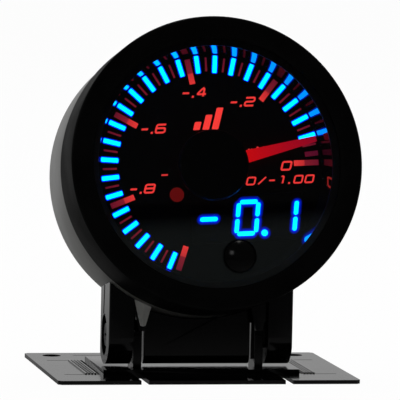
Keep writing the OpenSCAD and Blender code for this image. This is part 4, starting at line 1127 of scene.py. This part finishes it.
# %% The world
world = bpy.data.worlds.new("room")
bpy.context.scene.world = world
world.use_nodes = True
world_nodes, world_links = world.node_tree.nodes, world.node_tree.links
background = world_nodes["Background"]
background.inputs["Color"].default_value = (1, 1, 1, 1)
path = world_nodes.new("ShaderNodeLightPath")
room = room_in_gloss(world_nodes, world_links, "Generated", 0.0, 0.35)
world_links.new(larger_of(world_nodes, world_links, path.outputs["Is Camera Ray"], room),
                background.inputs["Strength"])
print("world made:", world.name)

# %% [markdown]
# A faint grey haze lies on the lower half of the lens, as if the lens mirrored something pale in
# front of the gauge. So a dim card hangs where the lens mirrors it to the camera. It glows weakly
# and fades towards its top. The camera, matt surfaces and shadows don't meet it, so it hides
# nothing and leaves the rest of the gauge as it is.

# %% A dim card in front
CARD_WAY = Vector((0.189, -0.939, 0.288))
CARD_AWAY, CARD_DROP = 300 * MM, 27 * MM
CARD_SIZE = (90 * MM, 36 * MM)
CARD_STRENGTH = 0.075
CARD_FADE = (9.7 * MM, 14.6 * MM)
card_middle = face_middle + CARD_WAY * CARD_AWAY - upward * CARD_DROP
card_side = CARD_WAY.cross(upward).normalized()
card_mesh = bpy.data.meshes.new("haze_card")
card_mesh.from_pydata([card_middle + card_side * CARD_SIZE[0] / 2 * i + upward * CARD_SIZE[1] / 2 * j
                       for i, j in ((-1, -1), (1, -1), (1, 1), (-1, 1))],
                      [], [(0, 1, 2, 3)])
card = bpy.data.objects.new("haze_card", card_mesh)
bpy.context.scene.collection.objects.link(card)
card_grey, card_nodes, card_links, card_shader = new_material("card_grey")
card_shader.inputs["Base Color"].default_value = (0, 0, 0, 1)
card_shader.inputs["Specular IOR Level"].default_value = 0
card_shader.inputs["Emission Color"].default_value = (0.85, 1.0, 0.95, 1)
card_place = card_nodes.new("ShaderNodeTexCoord")
card_split = card_nodes.new("ShaderNodeSeparateXYZ")
card_links.new(card_place.outputs["Object"], card_split.inputs["Vector"])
card_links.new(spread(card_nodes, card_links, card_split.outputs["Z"], CARD_STRENGTH, 0.0,
                      card_middle.z + CARD_FADE[0], card_middle.z + CARD_FADE[1]),
               card_shader.inputs["Emission Strength"])
dress(card, card_grey)
card.visible_camera = False
card.visible_diffuse = False
card.visible_shadow = False
print("card size in mm:", [round(side / MM) for side in CARD_SIZE])

# %% [markdown]
# The lamps are large and far away, so their shadows are soft. One hangs above, and one stands at
# each side a little behind, so that the rims take light and the front stays dark. A much weaker one
# in front shows the form of the stand.

# %% Lamps
def lamp(name, place, aim, size, watts):
    """A square lamp that points at a place."""
    data = bpy.data.lights.new(name, "AREA")
    data.size = size
    data.energy = watts
    piece = bpy.data.objects.new(name, data)
    piece.location = place
    piece.rotation_euler = (Vector(aim) - Vector(place)).to_track_quat("-Z", "Y").to_euler()
    bpy.context.scene.collection.objects.link(piece)


middle = tuple(face_middle)
lamp("lamp_above", (0.1, 0.1, 1.0), middle, 0.8, 5)
lamp("lamp_left", (-1.0, 0.3, 0.5), middle, 0.6, 3)
lamp("lamp_right", (1.0, 0.2, 0.5), middle, 0.6, 3)
lamp("lamp_front", (-0.5, -1.2, 0.7), middle, 0.3, 0.4)
bpy.context.scene.view_settings.view_transform = "Standard"
print("lamps:", len(bpy.data.lights))

# %% [markdown]

# %% Finish
print("scene finished")
